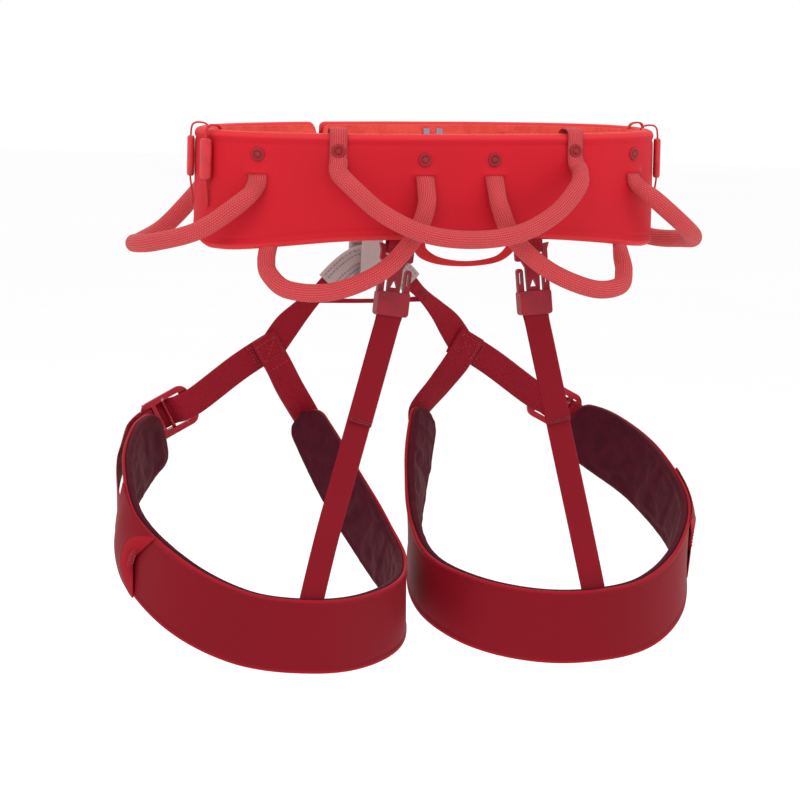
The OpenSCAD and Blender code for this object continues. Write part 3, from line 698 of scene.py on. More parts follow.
def belt_bottom(turn):
    folded = np.where(np.abs(turn) > 180, 360 - np.abs(turn), np.abs(turn))
    side = (BELT_LOW_SIDE - BELT_LOW_BACK) * smoothstep(folded, 10, 70)
    return BELT_LOW_BACK + side + (BELT_LOW_FRONT - BELT_LOW_SIDE) * smoothstep(folded, 78, 128)


def belt_turns(spacing):
    """Turns that step evenly round the pad's outline, and how far round each one is, in millimetres."""
    fine = np.linspace(PAD_LEFT_END, PAD_RIGHT_END, 4000)
    travel = lengths(belt_point(fine, 0, 0))
    at = np.linspace(0, travel[-1], int(travel[-1] / spacing) + 1)
    return np.interp(at, travel, fine), at


def slab_section(flat, curve):
    """A slab's section with half-round ends: its unit normal (out, up) and its place from -1 to 1 up the flat."""
    up = np.linspace(-1, 1, flat, endpoint=False)
    bend = np.linspace(0, np.pi, curve, endpoint=False)
    out = np.concatenate([np.ones(flat), np.cos(bend), -np.ones(flat), -np.cos(bend)])
    rise = np.concatenate([np.zeros(flat), np.sin(bend), np.zeros(flat), -np.sin(bend)])
    level = np.concatenate([up, np.ones(curve), -up, -np.ones(curve)])
    return out, rise, level


def rounded_end(distance, radius):
    """How far a rounded corner has drawn in, at a distance from the end: r - root of r^2 - (r - d)^2."""
    left = np.clip(radius - distance, 0, radius)
    return radius - np.sqrt(np.maximum(radius**2 - left**2, 0))


def make_belt_cover():
    """The foam belt in its cloth: a slab with half-round rims and raised edge rolls, low bumps where the gear
    loops run under the cloth, and a sharp drop below each bump where a loop comes out."""
    turn, travel = belt_turns(1.55)
    out, rise, level = slab_section(58, 12)
    radius = BELT_THICKNESS / 2
    from_end = np.minimum(travel, travel[-1] - travel)
    corner = rounded_end(from_end, END_CORNER)[:, None]
    thin = 1 - rounded_end(from_end, radius)[:, None] / radius * 0.96
    low, high = belt_bottom(turn)[:, None] + corner, BELT_TOP - corner
    middle, reach = (low + high) / 2, (high - low) / 2 - radius
    z = middle + level * reach + rise * radius * thin
    outside = np.maximum(out, 0)[None]
    rim = np.minimum(z - low, high - z)
    roll = 0.55 * bump(rim, 2.5, 3.2) - 0.75 * bump(rim, 7.4, 1.1)
    lift = roll * np.abs(out)[None] ** 0.5
    for slit in (-FRONT_SLIT, -REAR_SLIT, REAR_SLIT, FRONT_SLIT):
        aside = (travel - np.interp(slit, turn, travel))[:, None]
        over = smoothstep(z, SLIT_HEIGHT - 0.6, SLIT_HEIGHT + 0.6) * (1 - smoothstep(z, 12.5, 18.5))
        lift = lift + outside * 3.1 * np.exp(-((aside / 7.6) ** 4)) * over
        lift = lift - outside * 0.9 * np.exp(-((aside / 7.2) ** 6)) * bump(z, SLIT_HEIGHT - 2.2, 1.7)
    where = belt_on(turn[:, None], 0 * z, z)
    lift = lift + 0.22 * ripples(where, 46, seed=3) * np.abs(out)[None]
    depth = -radius + out * radius * thin + lift * out
    grid = belt_on(turn[:, None], depth, z + lift * rise)
    # How much painted rim highlight each point takes: most on the rolled rims, where they turn up or down.
    edge = np.clip(1.25 - rim / 8.0, 0, 1) * (0.35 + 0.65 * smoothstep(np.abs(rise)[None] + 0 * z, 0, 0.3))
    around = round_ring(grid[len(grid) // 2])
    obj = skin("belt_cover", grid, travel * MM, around * MM, edge=edge)
    finish(obj, "belt", "waist_belt", "belt_shell", "belt_foam", slot="belt_fabric")


def points_of(mesh):
    """The points of a mesh, in metres."""
    points = np.empty(len(mesh.vertices) * 3)
    mesh.vertices.foreach_get("co", points)
    return points.reshape(-1, 3)


def puff(obj, pins, cap, swell=0.06, pressure=4.0, frames=18):
    """Blows up a mesh as cloth: each point is held as hard as its pin says and moves no further than the cap."""
    mesh = obj.data
    start = points_of(mesh)
    group = obj.vertex_groups.new(name="held")
    for level in np.unique(np.round(pins, 1)):
        group.add(np.flatnonzero(np.round(pins, 1) == level).tolist(), float(level), "REPLACE")
    cloth = obj.modifiers.new("puff", "CLOTH")
    settings = cloth.settings
    settings.quality = 6
    settings.mass = 0.25
    settings.tension_stiffness = settings.compression_stiffness = 12
    settings.bending_stiffness = 0.25
    settings.use_pressure = True
    settings.uniform_pressure_force = pressure
    settings.shrink_min = -swell
    settings.effector_weights.gravity = 0
    settings.vertex_group_mass = "held"
    cloth.collision_settings.use_collision = False
    cloth.point_cache.frame_start, cloth.point_cache.frame_end = 1, frames
    for step in range(1, frames + 1):
        bpy.context.scene.frame_set(step)
    made = obj.evaluated_get(bpy.context.evaluated_depsgraph_get())
    move = points_of(made.to_mesh()) - start
    far = np.linalg.norm(move, axis=1, keepdims=True)
    move *= np.minimum(1, cap * MM / np.maximum(far, 1e-9)) * (1 - pins[:, None])
    made.to_mesh_clear()
    obj.modifiers.remove(cloth)
    obj.vertex_groups.clear()
    bpy.context.scene.frame_set(1)
    mesh.vertices.foreach_set("co", (start + move).ravel())
    mesh.update()


def smooth_over(obj):
    smooth = obj.modifiers.new("smooth", "SUBSURF")
    smooth.levels = smooth.render_levels = 1


def make_belt_lining():
    """The knitted lining inside the belt: a thin slab whose inner face is creased and blown up as cloth."""
    turn, travel = belt_turns(3.2)
    out, rise, level = slab_section(24, 4)
    from_end = np.minimum(travel, travel[-1] - travel)
    corner = rounded_end(from_end, END_CORNER)[:, None] + LINING_THICKNESS
    low, high = belt_bottom(turn)[:, None] + corner, BELT_TOP - corner
    middle, reach = (low + high) / 2, (high - low) / 2 - 0.7
    z = middle + level * reach + rise * 0.7
    where = belt_on(turn[:, None], 0 * z, z)
    inner = (out < -0.5)[None] & np.ones_like(z, bool)
    rim = np.clip(np.minimum(z - low, high - z) / 7, 0, 1)
    crease = 1 - np.abs(ripples(where, 17, seed=11))
    grid = belt_on(turn[:, None], -10.0 + 0.55 * out - inner * rim * (0.5 + 0.75 * np.clip(crease, -1, 1)), z)
    around = round_ring(grid[60])
    obj = skin("belt_lining_mesh", grid, travel * MM, around * MM)
    held = np.where(inner, 1 - 0.9 * rim, 1.0).ravel()
    puff(obj, np.concatenate([held, [1, 1]])[: len(obj.data.vertices)], cap=1.6)
    smooth_over(obj)
    finish(obj, "lining", "waist_belt", "belt_lining", slot="lining_mesh")


def make_size_labels():
    """Two small folded tapes sewn to the lining: each hangs from the rim, bowed out at its fold."""
    heights = np.array([35.5, 33, 30, 27.5, 26.2, 27.5, 30])
    outs = np.array([-11.6, -12.4, -12.8, -12.8, -12.2, -11.7, -11.5])
    for name, turn, *nodes in (("first_size_label", 175.4, "size_label"), ("second_size_label", 172.6)):
        rows = rows_of(belt_on(turn, outs, heights), belt_around(turn), 2.3, 0.22)
        finish(Ribbon(rows, 0.5).strap(name), "grey_label", "waist_belt", *nodes, slot="label")


# a buckle's own line: x along the strap, y away from the wearer
BUCKLE_PATH = [(22, -2.6), (9, -2.6), (4.6, 0.2), (2, 4.3), (-1.5, 5.6), (-8, 6.4), (-15, 6.4), (-21, 5.6)]
ANCHOR_PATH = [(-24, 2), (-18, 2.3), (-14.2, 1.9), (-12.4, 0), (-14.2, -1.9), (-18, -2.3)]
BUCKLE_TURN = -158.5
WAIST_HALF, LEG_HALF = 12.5, 10.0
STRAP_OUT = 1.9


def at_waist_buckle(path):
    """Points of the buckle's own line, stood square on the belt at the buckle."""
    middle, facing = belt_on(BUCKLE_TURN, 5.2, STRAP_HEIGHT), belt_out(BUCKLE_TURN)
    along = np.array([facing[1], -facing[0], 0])
    path = np.asarray(path, float)
    return middle + path[:, :1] * along + path[:, 1:] * facing


def on_turns(turns, out):
    return belt_on(np.asarray(turns, float), np.full(len(turns), float(out)), STRAP_HEIGHT)


def make_waist_straps():
    """The 25 mm waist strap, sewn along the right front, up through the buckle, over its bar and back round the
    side; the loop that holds the buckle; and the elastic keeper over the tail."""
    sewn_part = on_turns(np.arange(130, 191, 6), STRAP_OUT)
    tail = np.vstack([on_turns([-147, -141], 7), on_turns([-134, -126, -118], 4.4)])
    ribbon = Ribbon(rows_of(np.vstack([sewn_part, at_waist_buckle(BUCKLE_PATH), tail]), UP, WAIST_HALF, 0.7))
    finish(ribbon.strap("waist_strap"), "coral_tape", "waist_belt", "waist_webbing", slot="webbing")
    lines = box_lines(4, 24) + box_lines(58, 78) + bar_lines(ribbon.length - 12, 4, 2.2, 0.7)
    sewn("waist_strap_stitching", ribbon, lines, "thread", "waist_belt")
    points = np.vstack([at_waist_buckle(ANCHOR_PATH), on_turns([-147.5, -141, -134, -128], STRAP_OUT)])
    anchor = Ribbon(rows_of(points, UP, WAIST_HALF, 0.6))
    finish(anchor.strap("waist_buckle_loop"), "coral_tape", "waist_belt", "waist_buckle_anchor", slot="webbing")
    sewn("waist_buckle_loop_stitching", anchor, box_lines(44, 60), "thread", "waist_belt")
    ring = np.array([
        (0.9, -14), (0.9, 14), (2.2, 15.2), (4.8, 15.2), (6.1, 14), (6.1, -14), (4.8, -15.2), (2.2, -15.2),
    ])
    points = belt_on(KEEPER_TURN, ring[:, 0], STRAP_HEIGHT + ring[:, 1])
    keeper = Ribbon(rows_of(points, belt_around(KEEPER_TURN), 4.0, 0.55), 1.0, closed=True)
    finish(keeper.strap("waist_strap_keeper_band"), "elastic", "waist_belt", "waist_strap_keeper", slot="elastic")


FACES = {"rear": (0, -1, 0), "front": (0, 1, 0)}


def make_tie_in_points():
    """The strap that stands off the belt in front, and the arch that joins the leg loops, with a thin strap under
    it."""
    path = np.array([(-26, 73.8), (-20, 74.4), (-14, 80), (0, 84), (14, 80), (20, 74.4), (26, 73.8)])
    points = np.stack([TIE_IN_X + path[:, 0], path[:, 1], np.full(7, STRAP_HEIGHT)], -1)
    upper = Ribbon(rows_of(points, UP, 11, 0.8), 1.0)
    finish(upper.strap("upper_tie_in"), "grey_tape", "waist_belt", "upper_tie_in_loop", slot="tie_in_fabric")
    end = upper.length
    tacks = bar_lines(2, 5, 1.5) + bar_lines(end - 8, 5, 1.5)
    sewn("upper_tie_in_stitching", upper, tacks, "grey_thread", "waist_belt", pitch=1.6)
    arch = np.array([(0, -60), (12, -62.5), (23, -70.4), (31.5, -78.9)])
    arch = np.vstack([arch[:0:-1] * [-1, 1], arch])
    lean = np.arange(-3, 4) / 4
    points = np.stack([LEG_SHIFT + arch[:, 0], np.full(7, TIE_Y), arch[:, 1]], -1)
    lower = Ribbon(rows_of(points, np.stack([lean, 0 * lean, 1 + 0 * lean], -1), 9, 2.5), 1.0)
    grooves = lambda s, a, b: -0.35 * b * (bump(a, 0.55, 0.08) + bump(a, -0.55, 0.08))
    obj = lower.strap("lower_tie_in", grooves)
    finish(obj, "grey_tape", "waist_belt", "lower_tie_in_sleeve", slot="tie_in_fabric")
    end = lower.length
    rows = [((2, a), (end - 2, a)) for a in (-0.72, -0.36, 0.36, 0.72)]
    for side, way in FACES.items():
        sewn(f"lower_tie_in_{side}_stitching", lower, rows, "grey_thread", "waist_belt", way)
    across = np.array([-42, -30, -10, 10, 30, 42.0])
    sag = np.array([0.6, 0, -0.5, -0.5, 0, 0.6])
    points = np.stack([LEG_SHIFT + across, np.full(6, TIE_Y), -91.5 + sag], -1)
    wide = np.array([2.2, 1.8, 1.6, 1.6, 1.8, 2.2])
    bridge = Ribbon(rows_of(points, UP, wide, 0.6), 1.0)
    finish(bridge.strap("leg_bridge"), "tape", "waist_belt", "leg_bridge_strap", slot="webbing")


BELAY_LINE = np.array([
    (78.4, 20), (78.8, 4), (83.5, -22), (89.5, -46), (91, -63.5), (94.8, -72.7), (104, -76.5), (113.2, -72.7),
    (117, -63.5), (115, -46), (106, -24), (92, 2), (88.6, 20), (83.5, 29),
])


def make_belay_loop():
    """The closed loop through both tie-in points: two plies of tape with raised edges, bar-tacked where they
    lap, and a grey sleeve over the seam."""
    points = np.hstack([np.full((14, 1), TIE_IN_X), BELAY_LINE])
    loop = Ribbon(rows_of(points, (1, 0, 0), 8, 1.5), 1.2, closed=True)
    groove = lambda s, a, b: 0.3 * b * (bump(np.abs(a), 0.82, 0.13) - bump(a, 0, 0.12))
    finish(loop.strap("belay_loop_tape", groove), "grey_tape", "belay_loop", "belay_loop", slot="webbing")
    part = Ribbon(rows_of(points[8:12], (1, 0, 0), 9.2, 2.5), 1.0)
    part.place, part.along, part.across, part.face, part.half = (
        v[5:-14] for v in (part.place, part.along, part.across, part.face, part.half)
    )
    part.travel = part.travel[5:-14]
    obj = part.strap("belay_loop_cover", lambda s, a, b: -0.5 * b * bump(s, part.travel.mean(), 2.2))
    finish(obj, "grey_tape", "belay_loop", "belay_loop_sleeve", slot="tie_in_fabric")
    tacks = [((part.travel[3] + k * 4.4, -0.8), (part.travel[3] + k * 4.4, 0.8)) for k in range(8)]
    for side, way in FACES.items():
        sewn(f"belay_loop_{side}_stitching", part, tacks, "grey_thread", "belay_loop", way, pitch=1.7)


# ---------- trim on the belt ----------

def make_rivets():
    """Six pressed rivets, each a profile turned round its axis: a domed middle in a dish with a rolled lip."""
    profile = np.array([
        (0.05, 1.25), (0.9, 1.2), (1.7, 0.95), (2.1, 0.45), (2.35, 0.1), (2.7, 0.1), (3.0, 0.6), (3.5, 0.95),
        (4.2, 0.9), (4.7, 0.45), (4.8, -0.5),
    ])
    spin = np.linspace(0, 2 * np.pi, 36, endpoint=False)
    places = ("rear", REAR_SLIT, 22.7, 0.1), ("centre", CENTRE_TAB, 28.4, 2.1), ("front", FRONT_SLIT, 25.0, 0.1)
    for place, turn, z, out in places:
        for side, ear in EAR.items():
            middle, face = belt_on(side * turn, out, z), belt_out(side * turn)
            disc = np.cos(spin)[:, None] * belt_around(side * turn) + np.sin(spin)[:, None] * UP
            grid = middle + profile[:, None, :1] * disc[None] + profile[:, None, 1:] * face
            obj = skin(f"{ear}_{place}_rivet", grid, profile[:, 0] * MM, spin * MM)
            nodes = ["gear_loop_rivets"] if (place, ear) == ("rear", "left") else []
            finish(obj, "rivet", "waist_belt", *nodes, slot="dark_plastic")


def make_tool_slots():
    """Two slots for a clip on each side: a cord over the rim that runs down through a flattened sleeve with round
    ends, and comes back to the belt as a narrow tail."""
    path = np.array([
        (-9.6, 30), (-9.9, 37), (-7.4, 41.8), (-1.8, 43.0), (1.8, 41.6), (3.0, 37), (3.2, 26), (3.2, 12),
        (3.0, 5), (2.0, -3), (1.2, -9), (1.1, -13),
    ])
    for k, turn in enumerate((-97.0, -79.0, 79.0, 97.0)):
        around = belt_around(turn)
        rows = rows_of(belt_on(turn, path[:, 0], path[:, 1]), around, np.r_[np.full(9, 1.5), 1.4, 1.1, 0.5], 0.6)
        nodes = ["tool_slot_straps"] if k == 0 else []
        obj = Ribbon(rows, 1.0).strap(f"tool_slot_cord_{k + 1}")
        finish(obj, "coral_tape", "waist_belt", *nodes, slot="webbing")
        z = 6 + 28 * (1 - np.cos(np.linspace(0, np.pi, 26))) / 2
        end = np.sqrt(np.maximum(1 - (np.abs(z - 20) / 14.05) ** 24, 0.02))
        spin = np.linspace(0, 2 * np.pi, 40, endpoint=False)
        centre = belt_on(turn, np.full(26, 3.0), z)
        oval = lambda e: np.sign(e)[None, :, None] * np.abs(e)[None, :, None] ** 0.8
        wide = oval(np.cos(spin)) * (5.6 * end[:, None, None]) * around
        deep = oval(np.sin(spin)) * (2.5 * end[:, None, None]) * belt_out(turn)
        grid = centre[:, None] + wide + deep
        nodes = ["tool_slot_sleeves"] if k == 0 else []
        obj = skin(f"tool_slot_sleeve_{k + 1}", grid, z * MM, np.linspace(0, 24, 41) * MM)
        finish(obj, "sleeve", "waist_belt", *nodes, slot="dark_plastic")


def make_haul_loop():
    """A thin flat tape that hangs under the middle of the back, wider at its left end."""
    rows = np.array([
        (-27, -65, -34, 1, 0.2, 0, 5.2, 0.6), (-24, -66, -41, 0.9, 0.4, 0.5, 4.6, 0.6),
        (-12, -67, -46.5, 0.2, 0.7, 0.9, 3, 0.6), (8, -67, -48.5, 0, 0.8, 0.8, 2.2, 0.6),
        (28, -66.5, -46, -0.2, 0.7, 0.9, 2.4, 0.6), (38, -65.5, -40, -0.9, 0.4, 0.5, 3, 0.6),
        (40, -65, -34, -1, 0.2, 0, 3.4, 0.6),
    ])
    up_into_belt = np.array([[0, 1.5, 7, 0, 0, 0, 0, 0]])
    rows = np.vstack([rows[:1] + up_into_belt, rows, rows[-1:] + up_into_belt])
    finish(Ribbon(rows, 0.8).strap("haul_loop_tape"), "coral_tape", "haul_loop", "haul_loop", slot="loop_weave")


# ---------- gear loops ----------

TUBE = 6.2
FRONT_LINE = [
    (150, -55, -6), (177, -46, -26), (198, -12, -37), (203, 22, -41), (191, 50, -42), (170, 67, -34),
    (152, 67, -16),
]
REAR_LINE = [(27, -78.6, -10), (37, -80.5, -31), (61, -86, -52), (94, -83, -65), (120, -68, -65), (129, -53, -56)]
CENTRE_LINE = [(81, -84, 5), (62, -93, -12), (34, -99, -25), (0, -101, -29)]


def slit_rows(turn, flip=False):
    """Where a loop comes out of its slit: flat under the cloth, then swelling to its full round size."""
    places = belt_on(turn, np.array([-3.0, -0.9, 3.6]), np.array([20, 13, 4.0]))
    rows = rows_of(places, belt_out(turn), np.array([6.3, 6.5, 6.4]), np.array([1.4, 2.0, 4.4]))
    return rows[::-1] if flip else rows


def gear_loop(name, rows, body, nodes, start, end):
    """A round knitted sheath over a plastic tube, flattened where it is sewn down."""
    obj = Ribbon(rows, 1.6, facing=True).tube(f"{name}_sheath_knit", 32)
    finish(obj, "braid", ("waist_belt", body, start, end), nodes[0], *nodes[2:], slot="loop_weave")
    rows = rows.copy()
    rows[:, 6:8] = rows[:, 6:8] * [0.74, 0.7]
    obj = Ribbon(rows, 3.0, facing=True).tube(f"{name}_core_tube", 16)
    finish(obj, "core", ("waist_belt", body, start, end), nodes[1], slot="dark_plastic")


def line_plane(line, axis, sign):
    """The normal of the plane a loop's line lies in, with a given sign along one axis."""
    normal = unit(np.cross(line[-1] - line[0], line[3] - line[0]))
    return normal * sign * np.sign(normal[axis])


def make_gear_loops():
    """Two loops in front, two behind, and one across the middle of the back whose flat ends come over the rim."""
    start, end = (0, 0, 10 * MM), (0, 0, -14 * MM)
    line = np.array(FRONT_LINE, float)
    along_front = rows_of(line, line_plane(line, 2, 1), TUBE, TUBE)
    front = np.vstack([slit_rows(FRONT_SLIT), along_front, slit_rows(FRONT_LOOP_TURN, True)])
    line = np.array(REAR_LINE, float)
    plane = line_plane(line, 1, -1)
    ends = [(129.6, -46.5, -47), (127.6, -45.2, -36)]
    tucked = rows_of(ends, plane, np.array([6.2, 6.4]), np.array([5.6, 3.4]))
    rear = np.vstack([slit_rows(REAR_SLIT), rows_of(line, plane, TUBE, TUBE), tucked])
    for side, ear in EAR.items():
        for place, rows in (("front", front), ("rear", rear)):
            rows = rows if side > 0 else other_side(rows)
            name = f"{ear}_{place}_gear"
            gear_loop(name, rows, f"{name}_loop", [f"{name}_sheath", f"{name}_core"], start, end)
    face = belt_out(CENTRE_TAB)
    tab = [
        (-11.8, 27, -face), (-12.1, 34, -face), (-11.6, 40, -face), (-9, 42.6, UP - face), (-5, 43.4, UP),
        (-1, 42.6, UP + face), (1.3, 39.5, face), (1.3, 33, face), (1.3, 26, face), (3.0, 20.5, face),
        (8.5, 14, face),
    ]
    wide = np.r_[np.full(9, 6.1), 6.4, 6.4]
    deep = np.r_[np.full(9, 0.75), 2.6, 5.2]
    outs, heights, directions = (np.array(v, float) for v in zip(*tab))
    over_rim = rows_of(belt_on(CENTRE_TAB, outs, heights), directions, wide, deep)
    half = np.vstack([over_rim, rows_of(CENTRE_LINE, (0, -0.75, -0.66), TUBE, TUBE)])
    centre = np.vstack([half, other_side(half[:-1])[::-1]])
    nodes = ["centre_gear_sheath", "centre_gear_core", "centre_loop_tabs"]
    gear_loop("centre_gear", centre, "centre_gear_loop", nodes, (0, 0, 19 * MM), (0, 0, -4 * MM))


# ---------- risers ----------

LEG_SHIFT, TIE_Y = -5.0, 104.0
RISER_TOP = {-1: (36.0, -62.0, -39.0), 1: (60.6, -62.0, -39.0)}
RISER_LEAN, RISER_SLOPE = {-1: 7.5, 1: 4.0}, 5.4
RISER_END = {-1: (100.0, -85.0, -271.0), 1: (105.0, -85.0, -271.0)}
BAR_DROP, RISER_HALF = 42.2, 8.75


def on_side(rows, side):
    """Rows of the right leg, counted outward from the middle of the two loops, set on either leg."""
    rows = np.array(rows, float)
    rows[:, 0] = LEG_SHIFT + side * rows[:, 0]
    rows[:, 3] *= side
    return rows


def cosine_sine(angle):
    return math.cos(math.radians(angle)), math.sin(math.radians(angle))


def turn_x(p, angle):
    c, s = cosine_sine(angle)
    return np.stack([p[..., 0], p[..., 1] * c - p[..., 2] * s, p[..., 1] * s + p[..., 2] * c], -1)


def turn_y(p, angle):
    c, s = cosine_sine(angle)
    return np.stack([p[..., 0] * c + p[..., 2] * s, p[..., 1], p[..., 2] * c - p[..., 0] * s], -1)


def at_riser(side, path):
    """Points of a riser's own line: y away from the wearer, z up along the riser."""
    path = np.asarray(path, float)
    points = np.stack([0 * path[:, 0], -path[:, 0], path[:, 1]], -1)
    return RISER_TOP[side] + turn_y(turn_x(points, -RISER_SLOPE), -RISER_LEAN[side])


def make_riser(side):
    """The webbing that holds the clip, and the elastic that goes round the buckle's bar and down between the leg
    loop's cloth and padding, its short front end sewn down."""
    ear, body = EAR[side], f"{EAR[side]}_leg"
    across = turn_y(np.array([1.0, 0, 0]), -RISER_LEAN[side])
    loop = at_riser(side, [(3.6, 10), (3.5, 5), (3.1, 2), (0, -2.6), (-3.1, 2), (-3.5, 5), (-3.6, 10)])
    anchor = Ribbon(on_side(rows_of(loop, across, 8, 0.6), side), 0.7)
    finish(anchor.strap(f"{ear}_riser_anchor_tape"), "tape", "waist_belt", f"{ear}_riser_anchor", slot="webbing")
    start = at_riser(side, [(0, -BAR_DROP)])[0]
    down = unit(np.array(RISER_END[side]) - start)
    length = np.linalg.norm(np.array(RISER_END[side]) - start)
    over = square_to(np.array([1, 0, 0.25]), down)
    out = np.cross(down, over)
    out = out * -np.sign(out[1])
    step = lambda s, off: start + np.array(s, float)[:, None] * down + off * out
    bend = at_riser(side, [(2.6, -BAR_DROP), (0, 2.6 - BAR_DROP), (-2.6, -BAR_DROP)])
    tucked = np.array(RISER_END[side]) + [[0.3, -0.8, -5.0], [0.6, -1.4, -10.0]]
    points = np.vstack([step([80, 60, 40, 20, 8], 1.1), bend, step([8, 20, 50, 80, 120, 160], -1.1), tucked])
    directions = np.array([over] * 5 + [across] * 3 + [over] * 6 + [[1, 0, 0.1]] * 2, float)
    ribbon = Ribbon(on_side(rows_of(points, directions, RISER_HALF, 0.65), side), 1.2)
    finish(ribbon.strap(f"{ear}_riser_elastic"), "elastic", body, f"{ear}_riser_strap", slot="elastic")
    lines = bar_lines(1.2, 2, 1.3, 0.82)
    sewn(f"{ear}_riser_stitching", ribbon, lines, "dark_thread", body, (0, -1, 0), pitch=1.8, length=1.7)


# ---------- leg loops ----------

LEG_ROWS = np.array([
    (46, 112, -174, 14), (27, 76, -221, 19), (12, 34, -259, 22), (9, -8, -280, 23), (26, -52, -292, 25),
    (62, -80, -299, 26), (104, -90, -299, 26), (148, -80, -293, 26), (184, -50, -275, 26), (205, -4, -247, 26),
    (196, 44, -216, 25), (176, 80, -196, 24), (156, 100, -186, 20),
], float)
LEG_MIDDLE = np.array([105.0, 10.0, 0.0])
LEG_LAST = len(LEG_ROWS) - 1


def leg_at(u):
    """Row u of the leg loop, from 0 at the inner front end to 12 at the outer one, on Catmull-Rom spans."""
    u = np.clip(u, 0, LEG_LAST)
    i = np.minimum(np.floor(u).astype(int), LEG_LAST - 1)
    rows = np.vstack([2 * LEG_ROWS[0] - LEG_ROWS[1], LEG_ROWS, 2 * LEG_ROWS[-1] - LEG_ROWS[-2]])
    return span(rows[i], rows[i + 1], rows[i + 2], rows[i + 3], (u - i)[..., None])


def leg_frame(u):
    """Middle, way out, way up and half width of the leg loop at u."""
    u = np.asarray(u, float)
    row = leg_at(u)
    along = unit((leg_at(np.minimum(u + 0.05, LEG_LAST)) - leg_at(np.maximum(u - 0.05, 0)))[..., :3])
    out = square_to((row[..., :3] - LEG_MIDDLE) * [1, 1, 0], along)
    up = np.cross(out, along)
    return row[..., :3], out, up * np.sign(up[..., 2:]), row[..., 3]


def leg_on(u, out, up):
    place, way_out, way_up, _ = leg_frame(u)
    return place + np.asarray(out, float)[..., None] * way_out + np.asarray(up, float)[..., None] * way_up


def leg_steps(spacing):
    """Values of u that step evenly along the loop, and how far along each is."""
    fine = np.linspace(0.0, LEG_LAST, 2000)
    travel = lengths(leg_at(fine)[:, :3])
    at = np.linspace(0, travel[-1], int(travel[-1] / spacing) + 1)
    return np.interp(at, travel, fine), at


def mirrored_grid(grid, side):
    return np.stack([LEG_SHIFT + side * grid[..., 0], grid[..., 1], grid[..., 2]], -1)


def leg_layer(name, side, spacing, flat, curve, thickness, middle, inset, corner, shape):
    """A slab that follows the leg loop, with half-round edges and rounded corners. shape gives how far each point
    is lifted, from how far along, how far from the middle, how far from the rim, which way out and the middle."""
    u, travel = leg_steps(spacing)
    out, rise, level = slab_section(flat, curve)
    radius = thickness / 2
    from_end = np.minimum(travel, travel[-1] - travel)
    drawn = rounded_end(from_end, corner)[:, None]
    thin = 1 - 0.95 * rounded_end(from_end, radius)[:, None] / radius
    place, way_out, way_up, half = leg_frame(u)
    half = half[:, None] - inset - drawn
    height = level * (half - radius) + rise * radius * thin
    outward, aside, rim = out[None] + 0 * height, np.abs(height) / half, half - np.abs(height)
    lift = shape(travel[:, None], aside, rim, outward, place)
    depth = middle + out * radius * thin + lift * out
    height = height + lift * rise * 0.5
    grid = place[:, None] + depth[..., None] * way_out[:, None] + height[..., None] * way_up[:, None]
    around = round_ring(grid[len(grid) // 2])
    # The rim band, which the cloth's finish paints lighter as a painted highlight.
    edge = np.clip(1.3 - rim / 3.4, 0, 1)
    return skin(name, mirrored_grid(grid, side), travel * MM, around * MM, edge=edge), outward, aside


def make_leg_shell(side):
    """The leg loop's outer cloth, with its edges folded over and pressed flat."""
    def fold(travel, level, rim, out, place):
        soft = 0.3 * ripples(place, 60, seed=5)[:, None]
        return 0.5 * (bump(rim, 1.6, 1.9) - 0.55 * bump(rim, 4.3, 0.8)) + 0 * travel + soft * (out > 0)

    name = f"{EAR[side]}_leg"
    obj, _, _ = leg_layer(f"{name}_cover", side, 1.7, 40, 5, 1.6, 0.8, 0.8, 11.0, fold)
    finish(obj, "leg", name, f"{name}_shell", slot="leg_fabric")


PADDING_POINTS = {}


def make_leg_padding(side):
    """The leg loop's soft inside: crowned between its edges, creased, and blown up as cloth with its outer face
    held. The left one is the right one mirrored."""
    def crown(travel, level, rim, out, place):
        crease = 0.45 * (1 - np.abs(ripples(place, 34, seed=21)))[:, None]
        return np.where(out < 0, 0.5 * (1 - level**2) - 0.4 + crease * (1 - level**4), 0)

    name = f"{EAR[side]}_leg"
    obj, out, level = leg_layer(f"{name}_pad", side, 3.4, 16, 5, 6.0, -3.2, 0.0, 13.0, crown)
    held = np.concatenate([np.where(out < -0.1, 0.15 + 0.85 * level**6, 1.0).ravel(), [1, 1]])
    mesh = obj.data
    if not PADDING_POINTS:
        puff(obj, held, cap=1.8, swell=0.09)
        PADDING_POINTS["first"] = points_of(mesh)
    else:
        points = PADDING_POINTS["first"] * [-1, 1, 1] + [2 * LEG_SHIFT * MM, 0, 0]
        mesh.vertices.foreach_set("co", points.ravel())
        mesh.update()
    smooth_over(obj)
    finish(obj, "padding", name, f"{name}_padding", slot="leg_lining")


BUCKLE_AT, BUCKLE_SWING = np.array([146.0, 108.0, -171.0]), 208.0


def at_leg_buckle(path):
    path = np.array([(*p, 0.0)[:3] for p in path], float)
    return BUCKLE_AT + turn_y(path, BUCKLE_SWING)


